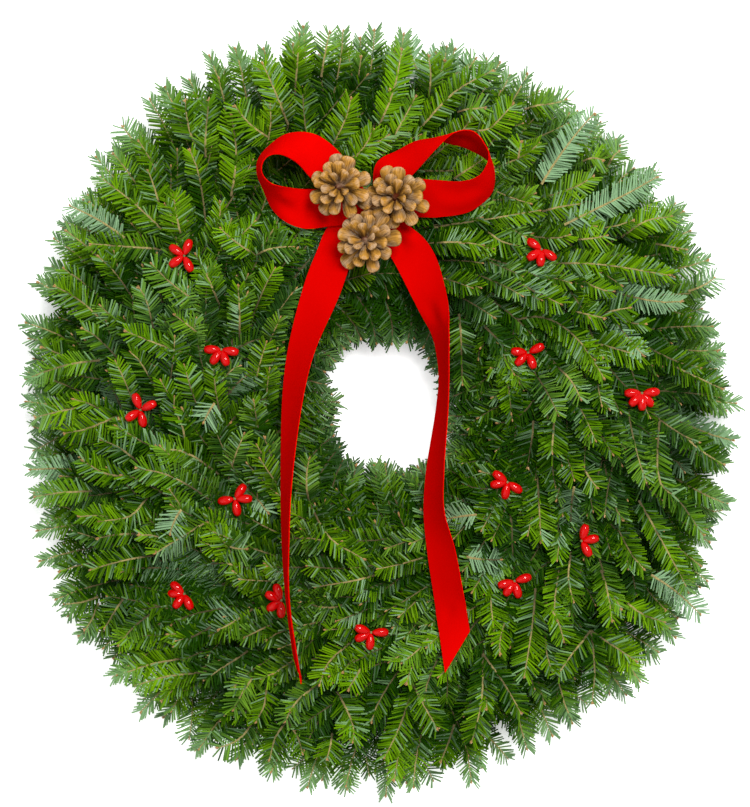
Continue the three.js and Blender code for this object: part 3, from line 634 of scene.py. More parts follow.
class Heap:
    """Gathers many small pieces for one mesh: each has a material number, a tone, which also carries painted
    shade and painted light, and a share of underside colour, which also carries painted light.
    """

    def __init__(self):
        self.verts, self.tris, self.slots, self.tones, self.under, self.local = [], [], [], [], [], []
        self.count = 0

    def add(self, verts, tris, slot, tone, under=None, local=None):
        self.verts.append(verts)
        self.tris.append(tris + self.count)
        self.slots.append(np.full(len(tris), slot, dtype=np.int32))
        self.tones.append(np.broadcast_to(tone, (len(verts),)).astype(np.float32))
        under = np.zeros(len(tris)) if under is None else under
        self.under.append(under.astype(np.float32))
        self.local.append(np.zeros((len(verts), 3)) if local is None else local)
        self.count += len(verts)

    def paint_shade_and_light(self, bed):
        """Paints shade into the tones of what lies deep among the needles or behind the bow, paints light
        into those towards the top, and pales those at the edges with painted light.
        """
        first = 0
        bow = from_view(*BOW_SHADE_PIXEL, FEATHER_PLANE)
        for verts, tris, tones, under in zip(self.verts, self.tris, self.tones, self.under):
            x, y, z = verts.T
            inside = rim_at(x, y)
            outside = np.hypot(x, y) - by_hour(HOLE_BY_HOUR, np.arctan2(x, y))
            depth = bed.read(x, y) - z
            # Painted shade deep among the needles and behind the bow, and painted light towards the top of
            # the wreath
            tones -= DEPTH_SHADE * ease(inside / EDGE_LIGHT) * ease((depth - SHADE_FROM) / SHADE_SPAN)
            tones += TOP_LIGHT * ease((y - TOP_LIGHT_FROM) / TOP_LIGHT_SPAN)
            tones -= BOW_SHADE * (1 - ease(np.hypot(x - bow[0], y - bow[1]) / BOW_SHADE_REACH))
            np.clip(tones, 0, 1, out=tones)
            # Painted light at the rim and at the hole's edge, in the pale colour of the undersides
            pale = RIM_PAINTED_LIGHT * (1 - ease(inside / EDGE_PAINTED_LIGHT_WIDTH))
            pale += HOLE_PAINTED_LIGHT * (1 - ease(outside / EDGE_PAINTED_LIGHT_WIDTH))
            under[:] = np.maximum(under, pale[tris[:, 0] - first])
            first += len(verts)

    def make(self, name, materials, press=None, facets=False):
        verts = np.concatenate(self.verts)
        slots = np.concatenate(self.slots)
        if press is not None:
            verts = press.down(verts)
        mesh = mesh_from_arrays(name, verts, np.concatenate(self.tris), smooth=not facets)
        for material in materials:
            mesh.materials.append(material)
        mesh.polygons.foreach_set("material_index", slots)
        # The tone carries painted shade and light besides each piece's own tone; the under share carries
        # painted light and highlights besides real undersides
        tone = mesh.attributes.new("tone", "FLOAT", "POINT")
        tone.data.foreach_set("value", np.concatenate(self.tones))
        under = mesh.attributes.new("under", "FLOAT", "FACE")
        under.data.foreach_set("value", np.concatenate(self.under))
        local = mesh.attributes.new("local", "FLOAT_VECTOR", "POINT")
        local.data.foreach_set("vector", np.concatenate(self.local).astype(np.float32).ravel())
        return link(mesh, name)


class Grid:
    """A height for each place of the face, read smoothly from cell to cell."""

    half = 330 * MM

    def __init__(self, cell, height):
        self.cell = cell
        count = int(2 * self.half / cell)
        self.values = np.full((count, count), height)

    def cells(self, x, y):
        last = len(self.values) - 1
        i = np.clip(((x + self.half) / self.cell).astype(int), 0, last)
        j = np.clip(((y + self.half) / self.cell).astype(int), 0, last)
        return i, j

    def read(self, x, y):
        u, v = (x + self.half) / self.cell - 0.5, (y + self.half) / self.cell - 0.5
        last = len(self.values) - 2
        i, j = np.clip(np.floor(u).astype(int), 0, last), np.clip(np.floor(v).astype(int), 0, last)
        u, v = u - i, v - j
        low = self.values[i, j] * (1 - v) + self.values[i, j + 1] * v
        high = self.values[i + 1, j] * (1 - v) + self.values[i + 1, j + 1] * v
        return low * (1 - u) + high * u

    def neighbours(self, heights):
        """The heights moved by one cell to each of the four sides."""
        return [np.roll(heights, shift, axis=axis) for axis in (0, 1) for shift in (1, -1)]


class Press(Grid):
    """How high the foliage may stand at each place of the face: it lies below the trimmings."""

    margin = 3 * MM
    slope = 0.55
    clearance = 5 * MM
    open_height = 200 * MM

    def __init__(self):
        super().__init__(1.5 * MM, self.open_height)

    def lower(self, points, heights):
        np.minimum.at(self.values, self.cells(points[:, 0], points[:, 1]), heights)

    def disc(self, x, y, radius, height):
        span = np.arange(-radius, radius + self.cell, self.cell)
        dx, dy = np.meshgrid(span, span)
        inside = np.hypot(dx, dy) <= radius
        points = np.stack([x + dx[inside], y + dy[inside]], axis=-1)
        self.lower(points, np.full(len(points), height))

    def spread(self, width):
        """Lets the foliage rise again beside the trimmings, at a slope."""
        for step in range(int(width / self.cell)):
            rise = self.slope * self.cell if step * self.cell > self.margin else 0
            for near in self.neighbours(self.values + rise):
                self.values = np.minimum(self.values, near)

    def settle(self, path):
        """Lowers a twig until its needles have room under the trimmings, and keeps it off the floor."""
        room = self.read(path[:, 0], path[:, 1]) - self.clearance
        over = np.maximum(path[:, 2] - room, 0)
        for _ in range(2):
            padded = np.pad(over, 1, mode="edge")
            over = np.maximum(over, (padded[:-2] + padded[2:]) / 2)
        path[:, 2] = np.maximum(path[:, 2] - over, LOWEST_TWIG)
        return path

    def down(self, verts):
        """Presses points into the room below the trimmings without changing their order."""
        start = self.read(verts[:, 0], verts[:, 1]) - self.margin
        over = np.maximum(verts[:, 2] - start, 0)
        pressed = start + self.margin * (1 - np.exp(-over / self.margin))
        verts[:, 2] = np.where(over > 0, pressed, verts[:, 2])
        verts[:, 2] = np.maximum(verts[:, 2], LOWEST_NEEDLE)
        return verts


class Bed(Grid):
    """How high the needles that have grown stand at each place."""

    fall = 0.35
    width = 30 * MM

    def __init__(self, heaps):
        super().__init__(3 * MM, 0.0)
        for heap in heaps:
            for verts in heap.verts:
                np.maximum.at(self.values, self.cells(verts[:, 0], verts[:, 1]), verts[:, 2])
        for _ in range(int(self.width / self.cell)):
            for near in self.neighbours(self.values - self.fall * self.cell):
                self.values = np.maximum(self.values, near)
        for _ in range(2):
            self.values = (4 * self.values + sum(self.neighbours(self.values))) / 8


# Materials

BLACK = (0.0, 0.0, 0.0)
WHITE = (1.0, 1.0, 1.0)


class Shader:
    """A node material that is put together a few nodes at a time."""

    def __init__(self, name):
        self.material = bpy.data.materials.new(name)
        self.material.use_nodes = True
        self.tree = self.material.node_tree
        self.surface = next(n for n in self.tree.nodes if n.type == "BSDF_PRINCIPLED")

    def node(self, kind, **settings):
        made = self.tree.nodes.new(kind)
        for key, value in settings.items():
            setattr(made, key, value)
        return made

    def join(self, out, into):
        self.tree.links.new(out, into)

    def value(self, name, amount):
        self.surface.inputs[name].default_value = amount

    def attribute(self, name):
        return self.node("ShaderNodeAttribute", attribute_name=name).outputs["Fac"]

    def noise(self, scale, detail=3.0, stretch=None, place=None):
        """Noise on Object coordinates, or on a vector attribute of the piece."""
        if place is None:
            place = self.node("ShaderNodeTexCoord").outputs["Object"]
        else:
            place = self.node("ShaderNodeAttribute", attribute_name=place).outputs["Vector"]
        if stretch:
            mapping = self.node("ShaderNodeMapping")
            mapping.inputs["Scale"].default_value = stretch
            self.join(place, mapping.inputs["Vector"])
            place = mapping.outputs["Vector"]
        texture = self.node("ShaderNodeTexNoise")
        texture.inputs["Scale"].default_value = scale
        texture.inputs["Detail"].default_value = detail
        self.join(place, texture.inputs["Vector"])
        return texture.outputs["Fac"]

    def ramp(self, factor, stops):
        ramp = self.node("ShaderNodeValToRGB")
        elements = ramp.color_ramp.elements
        while len(elements) < len(stops):
            elements.new(0.5)
        for element, (place, colour) in zip(elements, stops):
            element.position = place
            element.color = (*colour, 1)
        self.join(factor, ramp.inputs["Fac"])
        return ramp.outputs["Color"]

    def mix(self, factor, a, b, blend="MIX"):
        mix = self.node("ShaderNodeMix", data_type="RGBA", blend_type=blend)
        for out, socket in ((factor, mix.inputs[0]), (a, mix.inputs[6]), (b, mix.inputs[7])):
            if isinstance(out, bpy.types.NodeSocket):
                self.join(out, socket)
            elif isinstance(out, (int, float)):
                socket.default_value = out
            else:
                socket.default_value = (*out, 1)
        return mix.outputs[2]

    def span(self, factor, low, high):
        remap = self.node("ShaderNodeMapRange")
        remap.inputs["To Min"].default_value = low
        remap.inputs["To Max"].default_value = high
        self.join(factor, remap.inputs["Value"])
        return remap.outputs["Result"]

    def shade(self, deepest):
        """A painted shade: a tint that leaves the light half of the tones as it is and darkens the others."""
        return self.ramp(self.attribute("tone"), [(0.0, deepest), (0.5, WHITE)])

    def colour(self, out):
        self.join(out, self.surface.inputs["Base Color"])

    def bump(self, height, strength, distance):
        bump = self.node("ShaderNodeBump")
        bump.inputs["Strength"].default_value = strength
        bump.inputs["Distance"].default_value = distance
        self.join(height, bump.inputs["Height"])
        self.join(bump.outputs["Normal"], self.surface.inputs["Normal"])


def scaled(colour, amount):
    return tuple(c * amount for c in colour)


def needle_material(colours):
    shader = Shader("fir_needles")
    dark, light = tuple(colours.needle_dark_old_and_shaded), tuple(colours.needle_light_young_and_lit)
    middle = tuple((a + b) / 2 for a, b in zip(dark, light))
    # The tone carries the needles' age and also painted shade and painted light
    age_with_painted_light_and_shade = shader.ramp(shader.attribute("tone"), [(0.0, dark), (0.55, middle), (1.0, light)])
    drift = shader.ramp(shader.noise(22.0), [(0.3, (0.72, 0.80, 0.72)), (0.7, (1.25, 1.15, 1.0))])
    green = shader.mix(1.0, age_with_painted_light_and_shade, drift, "MULTIPLY")
    # The pale underside colour also serves as painted light at the edges and as painted highlights, and is
    # darkened by painted shade
    pale_underside_and_painted_light = shader.mix(shader.noise(160.0), tuple(colours.needle_under_and_painted_light), scaled(colours.needle_under_and_painted_light, 0.62))
    pale_underside_and_painted_light = shader.mix(1.0, pale_underside_and_painted_light, shader.shade((0.30, 0.33, 0.30)), "MULTIPLY")
    shader.colour(shader.mix(shader.attribute("under"), green, pale_underside_and_painted_light))
    shader.join(shader.span(shader.noise(90.0), 0.36, 0.56), shader.surface.inputs["Roughness"])
    shader.value("Specular IOR Level", 0.01)
    return shader.material


def bark_material(colours):
    shader = Shader("fir_twigs")
    bark = tuple(colours.twig)
    grain = shader.noise(420.0, 5.0)
    fresh = shader.ramp(grain, [(0.3, scaled(bark, 0.55)), (0.55, bark), (0.8, scaled(bark, 1.5))])
    # The bark is darkened by the painted shade that its tones carry
    shader.colour(shader.mix(1.0, fresh, shader.shade((0.25, 0.25, 0.25)), "MULTIPLY"))
    shader.value("Roughness", 0.8)
    shader.bump(grain, 0.5, 0.0006)
    return shader.material


def bud_material(colours):
    shader = Shader("fir_buds")
    bud = tuple(colours.bud)
    shader.colour(shader.ramp(shader.noise(600.0, 2.0), [(0.3, scaled(bud, 0.6)), (0.7, scaled(bud, 1.3))]))
    shader.value("Roughness", 0.45)
    return shader.material


def velvet_material(colours):
    shader = Shader("red_velvet")
    red = tuple(colours.ribbon)
    pile = shader.noise(2200.0, 2.0)
    brushed = shader.noise(28.0, 4.0, (1.0, 0.35, 1.0))
    field = shader.mix(brushed, scaled(red, 0.80), scaled(red, 1.08))
    shader.colour(shader.mix(shader.span(pile, 0.0, 0.16), field, scaled(red, 0.45)))
    shader.value("Roughness", 0.85)
    shader.value("Specular IOR Level", 0.0)
    shader.value("Sheen Weight", 0.02)
    shader.value("Sheen Roughness", 0.4)
    shader.surface.inputs["Sheen Tint"].default_value = (1.0, 0.1, 0.08, 1)
    shader.bump(pile, 0.22, 0.0004)
    return shader.material


def cone_material(colours):
    shader = Shader("pine_cone_scales")
    edge, depth = tuple(colours.cone_edge), tuple(colours.cone_root_and_shade)
    tip = (edge[0] * 1.05, edge[1] * 1.25, edge[2] * 3.6)
    # The tones carry painted light and shade: painted shade at the scales' roots, up to a painted highlight
    # at their ends in the tip colour
    along = shader.ramp(shader.attribute("tone"), [
        (0.0, depth), (0.4, scaled(edge, 0.25)), (0.66, scaled(edge, 0.7)),
        (0.86, scaled(edge, 0.95)), (1.0, tip),
    ])
    fibres = shader.noise(1.0, 4.0, (4.0, 46.0, 12.0), "local")
    streaks = shader.ramp(fibres, [
        (0.32, (0.55, 0.50, 0.44)), (0.5, WHITE), (0.68, (1.3, 1.35, 1.5)),
    ])
    weathered = shader.ramp(shader.noise(110.0, 3.0), [(0.46, BLACK), (0.62, (0.6, 0.6, 0.6))])
    wood = shader.mix(1.0, along, streaks, "MULTIPLY")
    grey = (edge[0] * 0.78, edge[0] * 0.54, edge[0] * 0.34)
    shader.colour(shader.mix(weathered, wood, shader.mix(1.0, grey, streaks, "MULTIPLY")))
    shader.value("Roughness", 0.75)
    shader.value("Specular IOR Level", 0.2)
    shader.bump(fibres, 0.7, 0.0008)
    return shader.material


def berry_material(colours):
    shader = Shader("red_berries")
    red = tuple(colours.berry)
    shader.colour(shader.mix(shader.noise(120.0), scaled(red, 0.72), scaled(red, 1.1)))
    shader.value("Roughness", 0.04)
    shader.value("Specular IOR Level", 0.36)
    return shader.material


def wire_material(colours):
    shader = Shader("green_wire")
    green = tuple(colours.wire)
    worn = shader.noise(300.0, 4.0)
    shader.colour(shader.ramp(worn, [(0.35, green), (0.75, scaled(green, 2.4))]))
    shader.value("Metallic", 0.35)
    shader.join(shader.span(worn, 0.3, 0.5), shader.surface.inputs["Roughness"])
    return shader.material


def floor_material():
    shader = Shader("pale_floor")
    shader.colour(shader.mix(shader.noise(3.0), (0.93, 0.93, 0.93), (0.95, 0.95, 0.945)))
    shader.value("Roughness", 0.9)
    shader.value("Specular IOR Level", 0.1)
    away = shader.node("ShaderNodeVectorMath", operation="LENGTH")
    shader.join(shader.node("ShaderNodeTexCoord").outputs["Object"], away.inputs[0])
    glow = shader.ramp(away.outputs["Value"], list(zip(GLOW_RADII, (WHITE, BLACK, BLACK, WHITE))))
    shader.join(glow, shader.surface.inputs["Emission Color"])
    shader.value("Emission Strength", GLOW_STRENGTH)
    return shader.material


# Fir

def needle_shape():
    """One needle along +X, a unit long and wide: flat below, keeled above, with a blunt end and a
    root that closes to an edge. Gives its points, its triangles and which of them are the underside."""
    verts, tris = primitive(
        bpy.ops.mesh.primitive_cone_add, vertices=3, radius1=0.5, radius2=0.4, depth=1,
        location=(0, 0, 0.5), end_fill_type="NGON")
    wide, high = verts[:, 0], verts[:, 1] - verts[:, 1].min()
    shape = np.stack([verts[:, 2], wide / (2 * np.abs(wide).max()), high / high.max() * NEEDLE_KEEL], axis=-1)
    ring = np.flatnonzero(shape[:, 0] < 0.1)
    keel = max(ring, key=lambda k: shape[k, 2])
    left = max(ring, key=lambda k: shape[k, 1] - shape[k, 2])
    tris = np.where(tris == keel, left, tris)
    tris = tris[(tris[:, 0] != tris[:, 1]) & (tris[:, 1] != tris[:, 2]) & (tris[:, 2] != tris[:, 0])]
    kept = np.unique(tris)
    shape, tris = shape[kept], np.searchsorted(kept, tris)
    corners = shape[tris]
    normals = unit(np.cross(corners[:, 1] - corners[:, 0], corners[:, 2] - corners[:, 0]))
    return shape, tris, normals[:, 2] < -0.5


def bud_shape():
    """One small pointed bud along +X, a unit long."""
    verts, tris = primitive(
        bpy.ops.mesh.primitive_uv_sphere_add, segments=4, ring_count=3, radius=0.5, rotation=ALONG_X)
    verts[:, 0] = verts[:, 0] * (1.0 + 0.3 * (verts[:, 0] > 0)) + 0.4
    return verts, tris


def place(shape, at, along, up, sizes):
    """Copies of a shape: one at each point, along its directions, scaled by length, width, height."""
    along = unit(along)
    side = unit(np.cross(up, along))
    top = np.cross(along, side)
    verts = at[:, None, :]
    for k, direction in enumerate((along, side, top)):
        verts = verts + shape[None, :, k:k + 1] * direction[:, None, :] * sizes[:, None, k:k + 1]
    return verts


def repeated(tris, copies, points):
    """Triangles of copies of a shape with so many points."""
    return (tris[None, :, :] + (np.arange(copies) * points)[:, None, None]).reshape(-1, 3)


class Twig:
    """A twig's path with its own directions, all on its bunch's ramp."""

    def __init__(self, path, roll, flip, bare, radius, look):
        self.path, self.flip, self.bare, self.radius = path, flip, bare, radius
        self.tone, self.fullness, self.bloom = look
        steps = np.linalg.norm(np.diff(path, axis=0), axis=1)
        self.reach = np.concatenate([[0], np.cumsum(steps)])
        self.length = self.reach[-1]
        self.along = unit(np.gradient(path, axis=0))
        plain = unit(np.cross(self.along, np.array([0.0, 0.0, 1.0])))
        top = np.cross(plain, self.along)
        turn = roll + (math.pi if flip else 0)
        self.right = plain * math.cos(turn) + top * math.sin(turn)
        self.up = top * math.cos(turn) - plain * math.sin(turn)

    def at(self, distance):
        """Points at distances along the twig, and its directions there."""
        values = []
        for field in (self.path, self.along, self.right, self.up):
            values.append(np.stack([np.interp(distance, self.reach, field[:, k]) for k in range(3)], axis=-1))
        return values


def drawn_look(rng, tone):
    """A twig's tone from dark to light, the share of its needles' length and how blue it is."""
    drawn_tone = float(np.clip(rng.normal(tone, TWIG_TONE_SPREAD), 0, 1))
    drawn_bloom = float(np.clip(rng.normal(BLOOM, TWIG_BLOOM_SPREAD), 0, MOST_BLOOM))
    return drawn_tone, rng.uniform(*FULLNESS), drawn_bloom


class FirMaker:
    """Grows needles, twigs and buds on the sprays of one bunch after another."""

    def __init__(self, sizes):
        self.sizes = sizes
        self.needle = needle_shape()
        self.bud = bud_shape()

    def grow_needles(self, heap, twig, rng):
        bare = twig.bare * twig.length
        leafy = twig.length - bare
        for lift, lift_spread, slant, slant_spread, length_share, per_mm in NEEDLE_RANKS:
            count = int(leafy / MM * per_mm)
            if count < FEWEST_NEEDLES:
                continue
            share = (np.arange(count) + rng.uniform(0.1, 0.9, count)) / count
            hand = np.where(np.arange(count) % 2 == 0, 1.0, -1.0)
            lifted = np.radians(rng.normal(lift, lift_spread, count))
            slanted = np.radians(rng.normal(slant, slant_spread, count)) * rising(share, *LAST_SLANT)
            length = self.sizes.needle_length * twig.fullness * length_share
            length = length * rng.normal(1.0, LENGTH_SPREAD, count)
            length *= rising(share, *FIRST_LENGTH) * rising(share, *LAST_LENGTH)
            self.add_needles(heap, twig, bare + share * leafy, hand, lifted, slanted, length, rng)

    def add_needles(self, heap, twig, distance, hand, lifted, slanted, length, rng):
        count = len(distance)
        point, along, right, up = twig.at(distance)
        side = right * (hand * np.cos(lifted))[:, None] + up * np.sin(lifted)[:, None]
        direction = along * np.cos(slanted)[:, None] + side * np.sin(slanted)[:, None]
        width = self.sizes.needle_width * rng.normal(1.0, WIDTH_SPREAD, count)
        shape, tris, under = self.needle
        twist = rng.normal(0, TWIST_SPREAD, count)
        face = up + right * twist[:, None]
        scale = np.stack([length, width, width], axis=-1)
        verts = place(shape, point + side * (twig.radius * 0.5), direction, face, scale)
        bend = shape[:, 0] ** 2 * rng.normal(NEEDLE_BEND, NEEDLE_BEND, count)[:, None]
        verts += up[:, None, :] * (bend * length[:, None])[:, :, None]
        share = distance / twig.length
        tone = twig.tone + rng.normal(0, NEEDLE_TONE_SPREAD, count) + TONE_RISE * (share - 0.5)
        tone = np.clip(tone, 0, 1)
        bloom = np.clip(rng.normal(twig.bloom, NEEDLE_BLOOM_SPREAD, count), 0, 1)
        # Painted highlights: some needles are paled like their wax to stand in for glints of light
        bloom += PAINTED_GLINT_PALENESS * (rng.random(count) < PAINTED_GLINT_SHARE)
        pale = np.maximum(np.tile(under, count), np.repeat(bloom, len(tris)))
        tones = np.repeat(tone, len(shape))
        heap.add(verts.reshape(-1, 3), repeated(tris, count, len(shape)), NEEDLES, tones, pale)

    def grow_buds(self, heap, twig, rng, number):
        shape, tris = self.bud
        at = np.repeat(twig.path[-1:], number, axis=0)
        spread = rng.normal(0, BUD_SPREAD, (number, 3))
        spread[0] = 0
        along = twig.along[-1] + spread
        length = rng.uniform(*BUD_LENGTH, number) * MM
        scale = np.stack([length, length * BUD_WIDTH, length * BUD_WIDTH], axis=-1)
        verts = place(shape, at, along, np.repeat(twig.up[-1:], number, axis=0), scale).reshape(-1, 3)
        heap.add(verts, repeated(tris, number, len(shape)), BUDS, BUD_TONE)

    def grow(self, heap, twig, rng, buds=3, sides=4):
        spread = np.linspace(1.0, TWIG_END, len(twig.path))
        verts, tris = tube(twig.path, twig.radius * spread, sides)
        heap.add(verts, tris, BARK, BARK_TONE)
        self.grow_needles(heap, twig, rng)
        self.grow_buds(heap, twig, rng, buds)


def spray_path(bunch, turn, reach, lying, lift, points=12):
    """Where a spray runs on its bunch's ramp, from the fork to its tip."""
    t = np.linspace(0, 1, points)
    past = turn * (1 - (1 - t) ** TURN_BEND)
    r = stem_radius(bunch) + (reach - stem_radius(bunch)) * t ** REACH_BEND
    z = ramp_height(r, past, lying) + lift * t + SPRAY_LIFT
    return clock(r, bunch * PITCH + past, z)


def side_path(bunch, parent, index, hand, angle, length, lying, lift):
    """Where a side twig runs, from a point of its parent, bending forwards."""
    start, along = parent.path[index], parent.along[index]
    heading = math.atan2(along[1], along[0]) - hand * angle
    points = [start[:2]]
    for _ in range(SIDE_STEPS):
        points.append(points[-1] + np.array([math.cos(heading), math.sin(heading)]) * length / SIDE_STEPS)
        heading += hand * angle * SIDE_BEND
    plan = np.array(points)
    base = start[2] - on_ramp(bunch, *start[:2], lying)[2]
    path = on_ramp(bunch, plan[:, 0], plan[:, 1], lying)
    path[:, 2] += base + lift * np.linspace(0, 1, SIDE_STEPS + 1)
    return path


def stays_inside(path):
    """Whether a twig's tip keeps to the wreath, between its hole and its edge."""
    tip = path[-1]
    r = math.hypot(tip[0], tip[1])
    angle = math.atan2(tip[0], tip[1])
    return r > by_hour(HOLE_BY_HOUR, angle) + HOLE_MARGIN and rim_at(tip[0], tip[1]) > 0


def sprays_of(bunch):
    """The sprays of a bunch: those of the frame, then those that fill between them."""
    rows = [*FRAME_SPRAYS, ODD_SPRAY if bunch % 2 else EVEN_SPRAY, *FILL_SPRAYS]
    for number, row in enumerate(rows):
        ends_at, degrees, degrees_spread, reach, reach_spread, lift = row
        turn = math.radians(degrees + (draw(bunch, 2 * number + 1) - 0.5) * degrees_spread)
        angle = bunch * PITCH + turn
        end = reach * MM
        if ends_at == "rim":
            end = by_hour(RIM_BY_HALF_HOUR, angle) - reach * MM
        elif ends_at == "hole":
            end = by_hour(HOLE_BY_HOUR, angle) + reach * MM
        end += (draw(bunch, 2 * number + 2) - 0.5) * reach_spread * MM
        yield row is BACK_SPRAY, turn, float(end), lift * MM


class WREATH_OT_fir(bpy.types.Operator):
    """Grow the fir bunches round the ring"""

    bl_idname = "wreath.fir"
    bl_label = "Fir bunches"

    def execute(self, context):
        sizes, colours = context.scene.wreath_sizes, context.scene.wreath_colours
        materials = [needle_material(colours), bark_material(colours), bud_material(colours)]
        maker = FirMaker(sizes)
        press = pressed_foliage()
        heaps = [self.grow_bunch(maker, bunch, press) for bunch in range(BUNCHES)]
        bed = Bed(heaps)
        rng = np.random.default_rng(FEATHER_SEED)
        for silver, feathers in enumerate((FEATHERS, SILVER_FEATHERS)):
            for pixels in feathers:
                self.lay_feather(maker, heaps, bed, press, pixels, bool(silver), rng)
        bed = Bed(heaps)
        for bunch, heap in enumerate(heaps):
            heap.paint_shade_and_light(bed)
            obj = heap.make(f"fir_spray_{bunch + 1:02d}", materials, press, facets=True)
            dress(obj, f"fir_bunch_{bunch + 1:02d}")
        return {"FINISHED"}

    def grow_bunch(self, maker, bunch, press):
        rng = np.random.default_rng(BUNCH_SEED + bunch)
        heap = Heap()
        radius = maker.sizes.twig_radius
        for lying, turn, reach, lift in sprays_of(bunch):
            path = press.settle(spray_path(bunch, turn, reach, lying, lift))
            flip = rng.random() < SILVER_SHARE
            roll = math.radians(rng.normal(0, SPRAY_ROLL))
            main = Twig(path, roll, flip, SPRAY_BARE, radius, drawn_look(rng, SPRAY_TONE))
            maker.grow(heap, main, rng)
            for index in LYING_SIDE_STARTS if lying else SIDE_STARTS:
                for hand in (1, -1):
                    self.add_side(maker, heap, bunch, press, main, index, hand, lying, rng)
        back = 1 - np.linspace(0, 1, STEM_POINTS)
        angles = bunch * PITCH + STEM_LEAD - STEM_BACK * back
        stem = clock(stem_radius(bunch), angles, FORK_HEIGHT + STEM_LIFT - STEM_DROP * back)
        heap.add(*tube(stem, np.full(len(stem), STEM_RADIUS), STEM_SIDES), BARK, STEM_TONE)
        return heap

    def add_side(self, maker, heap, bunch, press, main, index, hand, lying, rng):
        """A side feather of a spray, shortened until it keeps to the wreath."""
        rest = main.length - main.reach[index]
        length = (SIDE_LENGTH + SIDE_LENGTH_SHARE * rest) * rng.uniform(*SIDE_VARIATION)
        angle = math.radians(rng.normal(SIDE_ANGLE, SIDE_ANGLE_SPREAD))
        rise = rng.uniform(*SIDE_RISE)
        roll = math.radians(rng.normal(0, SIDE_ROLL))
        tone = float(np.clip(main.tone + rng.normal(0, SIDE_TONE_SPREAD), 0, 1))
        look = (tone, main.fullness * SIDE_FULLNESS, main.bloom)
        radius = main.radius * SIDE_RADIUS
        for share in SIDE_CUTS:
            path = side_path(bunch, main, index, hand, angle, length * share, lying, rise)
            if stays_inside(path):
                path = press.settle(path)
                maker.grow(heap, Twig(path, roll, main.flip, SIDE_BARE, radius, look), rng, buds=1)
                return

    def lay_feather(self, maker, heaps, bed, press, pixels, silver, rng):
        """A feather on top of the others, part of the bunch that it comes from."""
        points = [from_view(px, py, FEATHER_PLANE)[:2] for px, py in pixels]
        t = np.linspace(0, 1, FEATHER_POINTS)
        plan = spline(points, t)
        sideways = np.array([points[-1][1] - points[0][1], points[0][0] - points[-1][0]])
        plan += sideways[None, :] * (rng.normal(0, FEATHER_SWAY) * np.sin(t * math.pi))[:, None]
        height = bed.read(plan[:, 0], plan[:, 1])
        for _ in range(2):
            padded = np.pad(height, 1, mode="edge")
            height = (padded[:-2] + 2 * height + padded[2:]) / 4
        if not silver:
            height -= FEATHER_SINK + ROOT_DIP * (1 - ease(t / ROOT_SHARE))
        path = press.settle(np.column_stack([plan, height]))
        middle = path[len(path) // 2]
        past = np.interp(math.hypot(middle[0], middle[1]), PAST_RADII, np.radians(PAST_DEGREES))
        bunch = round((math.atan2(middle[0], middle[1]) - past) / PITCH) % BUNCHES
        roll = math.radians(rng.normal(0, FEATHER_ROLL))
        radius = maker.sizes.twig_radius * FEATHER_RADIUS
        look = drawn_look(rng, FEATHER_TONE)
        maker.grow(heaps[bunch], Twig(path, roll, silver, FEATHER_BARE, radius, look), rng)


class WREATH_OT_wires(bpy.types.Operator):
    """Draw the crimped ring, the binding wire and the bow's tie"""

    bl_idname = "wreath.wires"
    bl_label = "Ring and wires"

    def execute(self, context):
        material = wire_material(context.scene.wreath_colours)
        angle = np.linspace(0, TURN, BUNCHES * RING_STEPS, endpoint=False)
        ring = clock(RING_RADIUS, angle, RING_HEIGHT + RING_CRIMP * np.cos(angle * BUNCHES))
        self.make("ring_wire", ring_tube(ring, RING_WIRE, RING_SIDES), material, "wire_ring")
        t = np.linspace(0, 1, BUNCHES * BINDING_STEPS, endpoint=False)
        wrap = t * TURN * BUNCHES
        out = RING_RADIUS + BINDING_HALF_WIDTH * np.sin(wrap)
        lift = BINDING_MIDDLE + BINDING_HALF_HEIGHT * np.cos(wrap)
        turns = clock(out, (t * BUNCHES - BINDING_LEAD) * PITCH, lift)
        self.make("binding_turns", ring_tube(turns, BINDING_WIRE, WIRE_SIDES), material, "binding_wire")
        a = np.linspace(0, TURN, TIE_STEPS, endpoint=False)
        knot = from_view(*KNOT_PIXEL, KNOT_HEIGHT)
        ring_angle = math.asin(knot[0] / RING_RADIUS)
        low = RING_HEIGHT + RING_CRIMP * math.cos(ring_angle * BUNCHES) - RING_WIRE - TIE_GAP - TIE_WIRE
        y = TIE_MIDDLE + TIE_HALF_SPAN * squared(np.cos(a), TIE_ROUNDNESS)
        z = low + (TIE_TOP - low) * (squared(np.sin(a), TIE_ROUNDNESS) + 1) / 2
        loop = np.stack([np.full(len(a), knot[0]), y, z], axis=-1)
        self.make("tie_wire", ring_tube(loop, TIE_WIRE, WIRE_SIDES), material, "bow_tie")
        return {"FINISHED"}

    def make(self, name, arrays, material, node):
        obj = link(mesh_from_arrays(name, *arrays), name)
        obj.data.materials.append(material)
        dress(obj, node)


def spline(points, t):
    """Points of a centripetal Catmull-Rom curve through a list of points."""
    points = np.asarray(points)
    last = len(points) - 1
    made = []
    for share in t:
        place = share * last
        i = min(int(place), last - 1)
        w = place - i
        p1, p2 = points[i], points[i + 1]
        p0 = points[i - 1] if i > 0 else 2 * p1 - p2
        p3 = points[i + 2] if i + 2 <= last else 2 * p2 - p1
        d0, d1, d2 = (max(np.linalg.norm(b - a) ** 0.5, 1e-4) for a, b in ((p0, p1), (p1, p2), (p2, p3)))
        m1 = ((p1 - p0) / d0 - (p2 - p0) / (d0 + d1) + (p2 - p1) / d1) * d1
        m2 = ((p2 - p1) / d1 - (p3 - p1) / (d1 + d2) + (p3 - p2) / d2) * d1
        made.append(
            p1 * (2 * w ** 3 - 3 * w ** 2 + 1) + m1 * (w ** 3 - 2 * w ** 2 + w)
            + p2 * (3 * w ** 2 - 2 * w ** 3) + m2 * (w ** 3 - w ** 2)
        )
    return np.array(made)


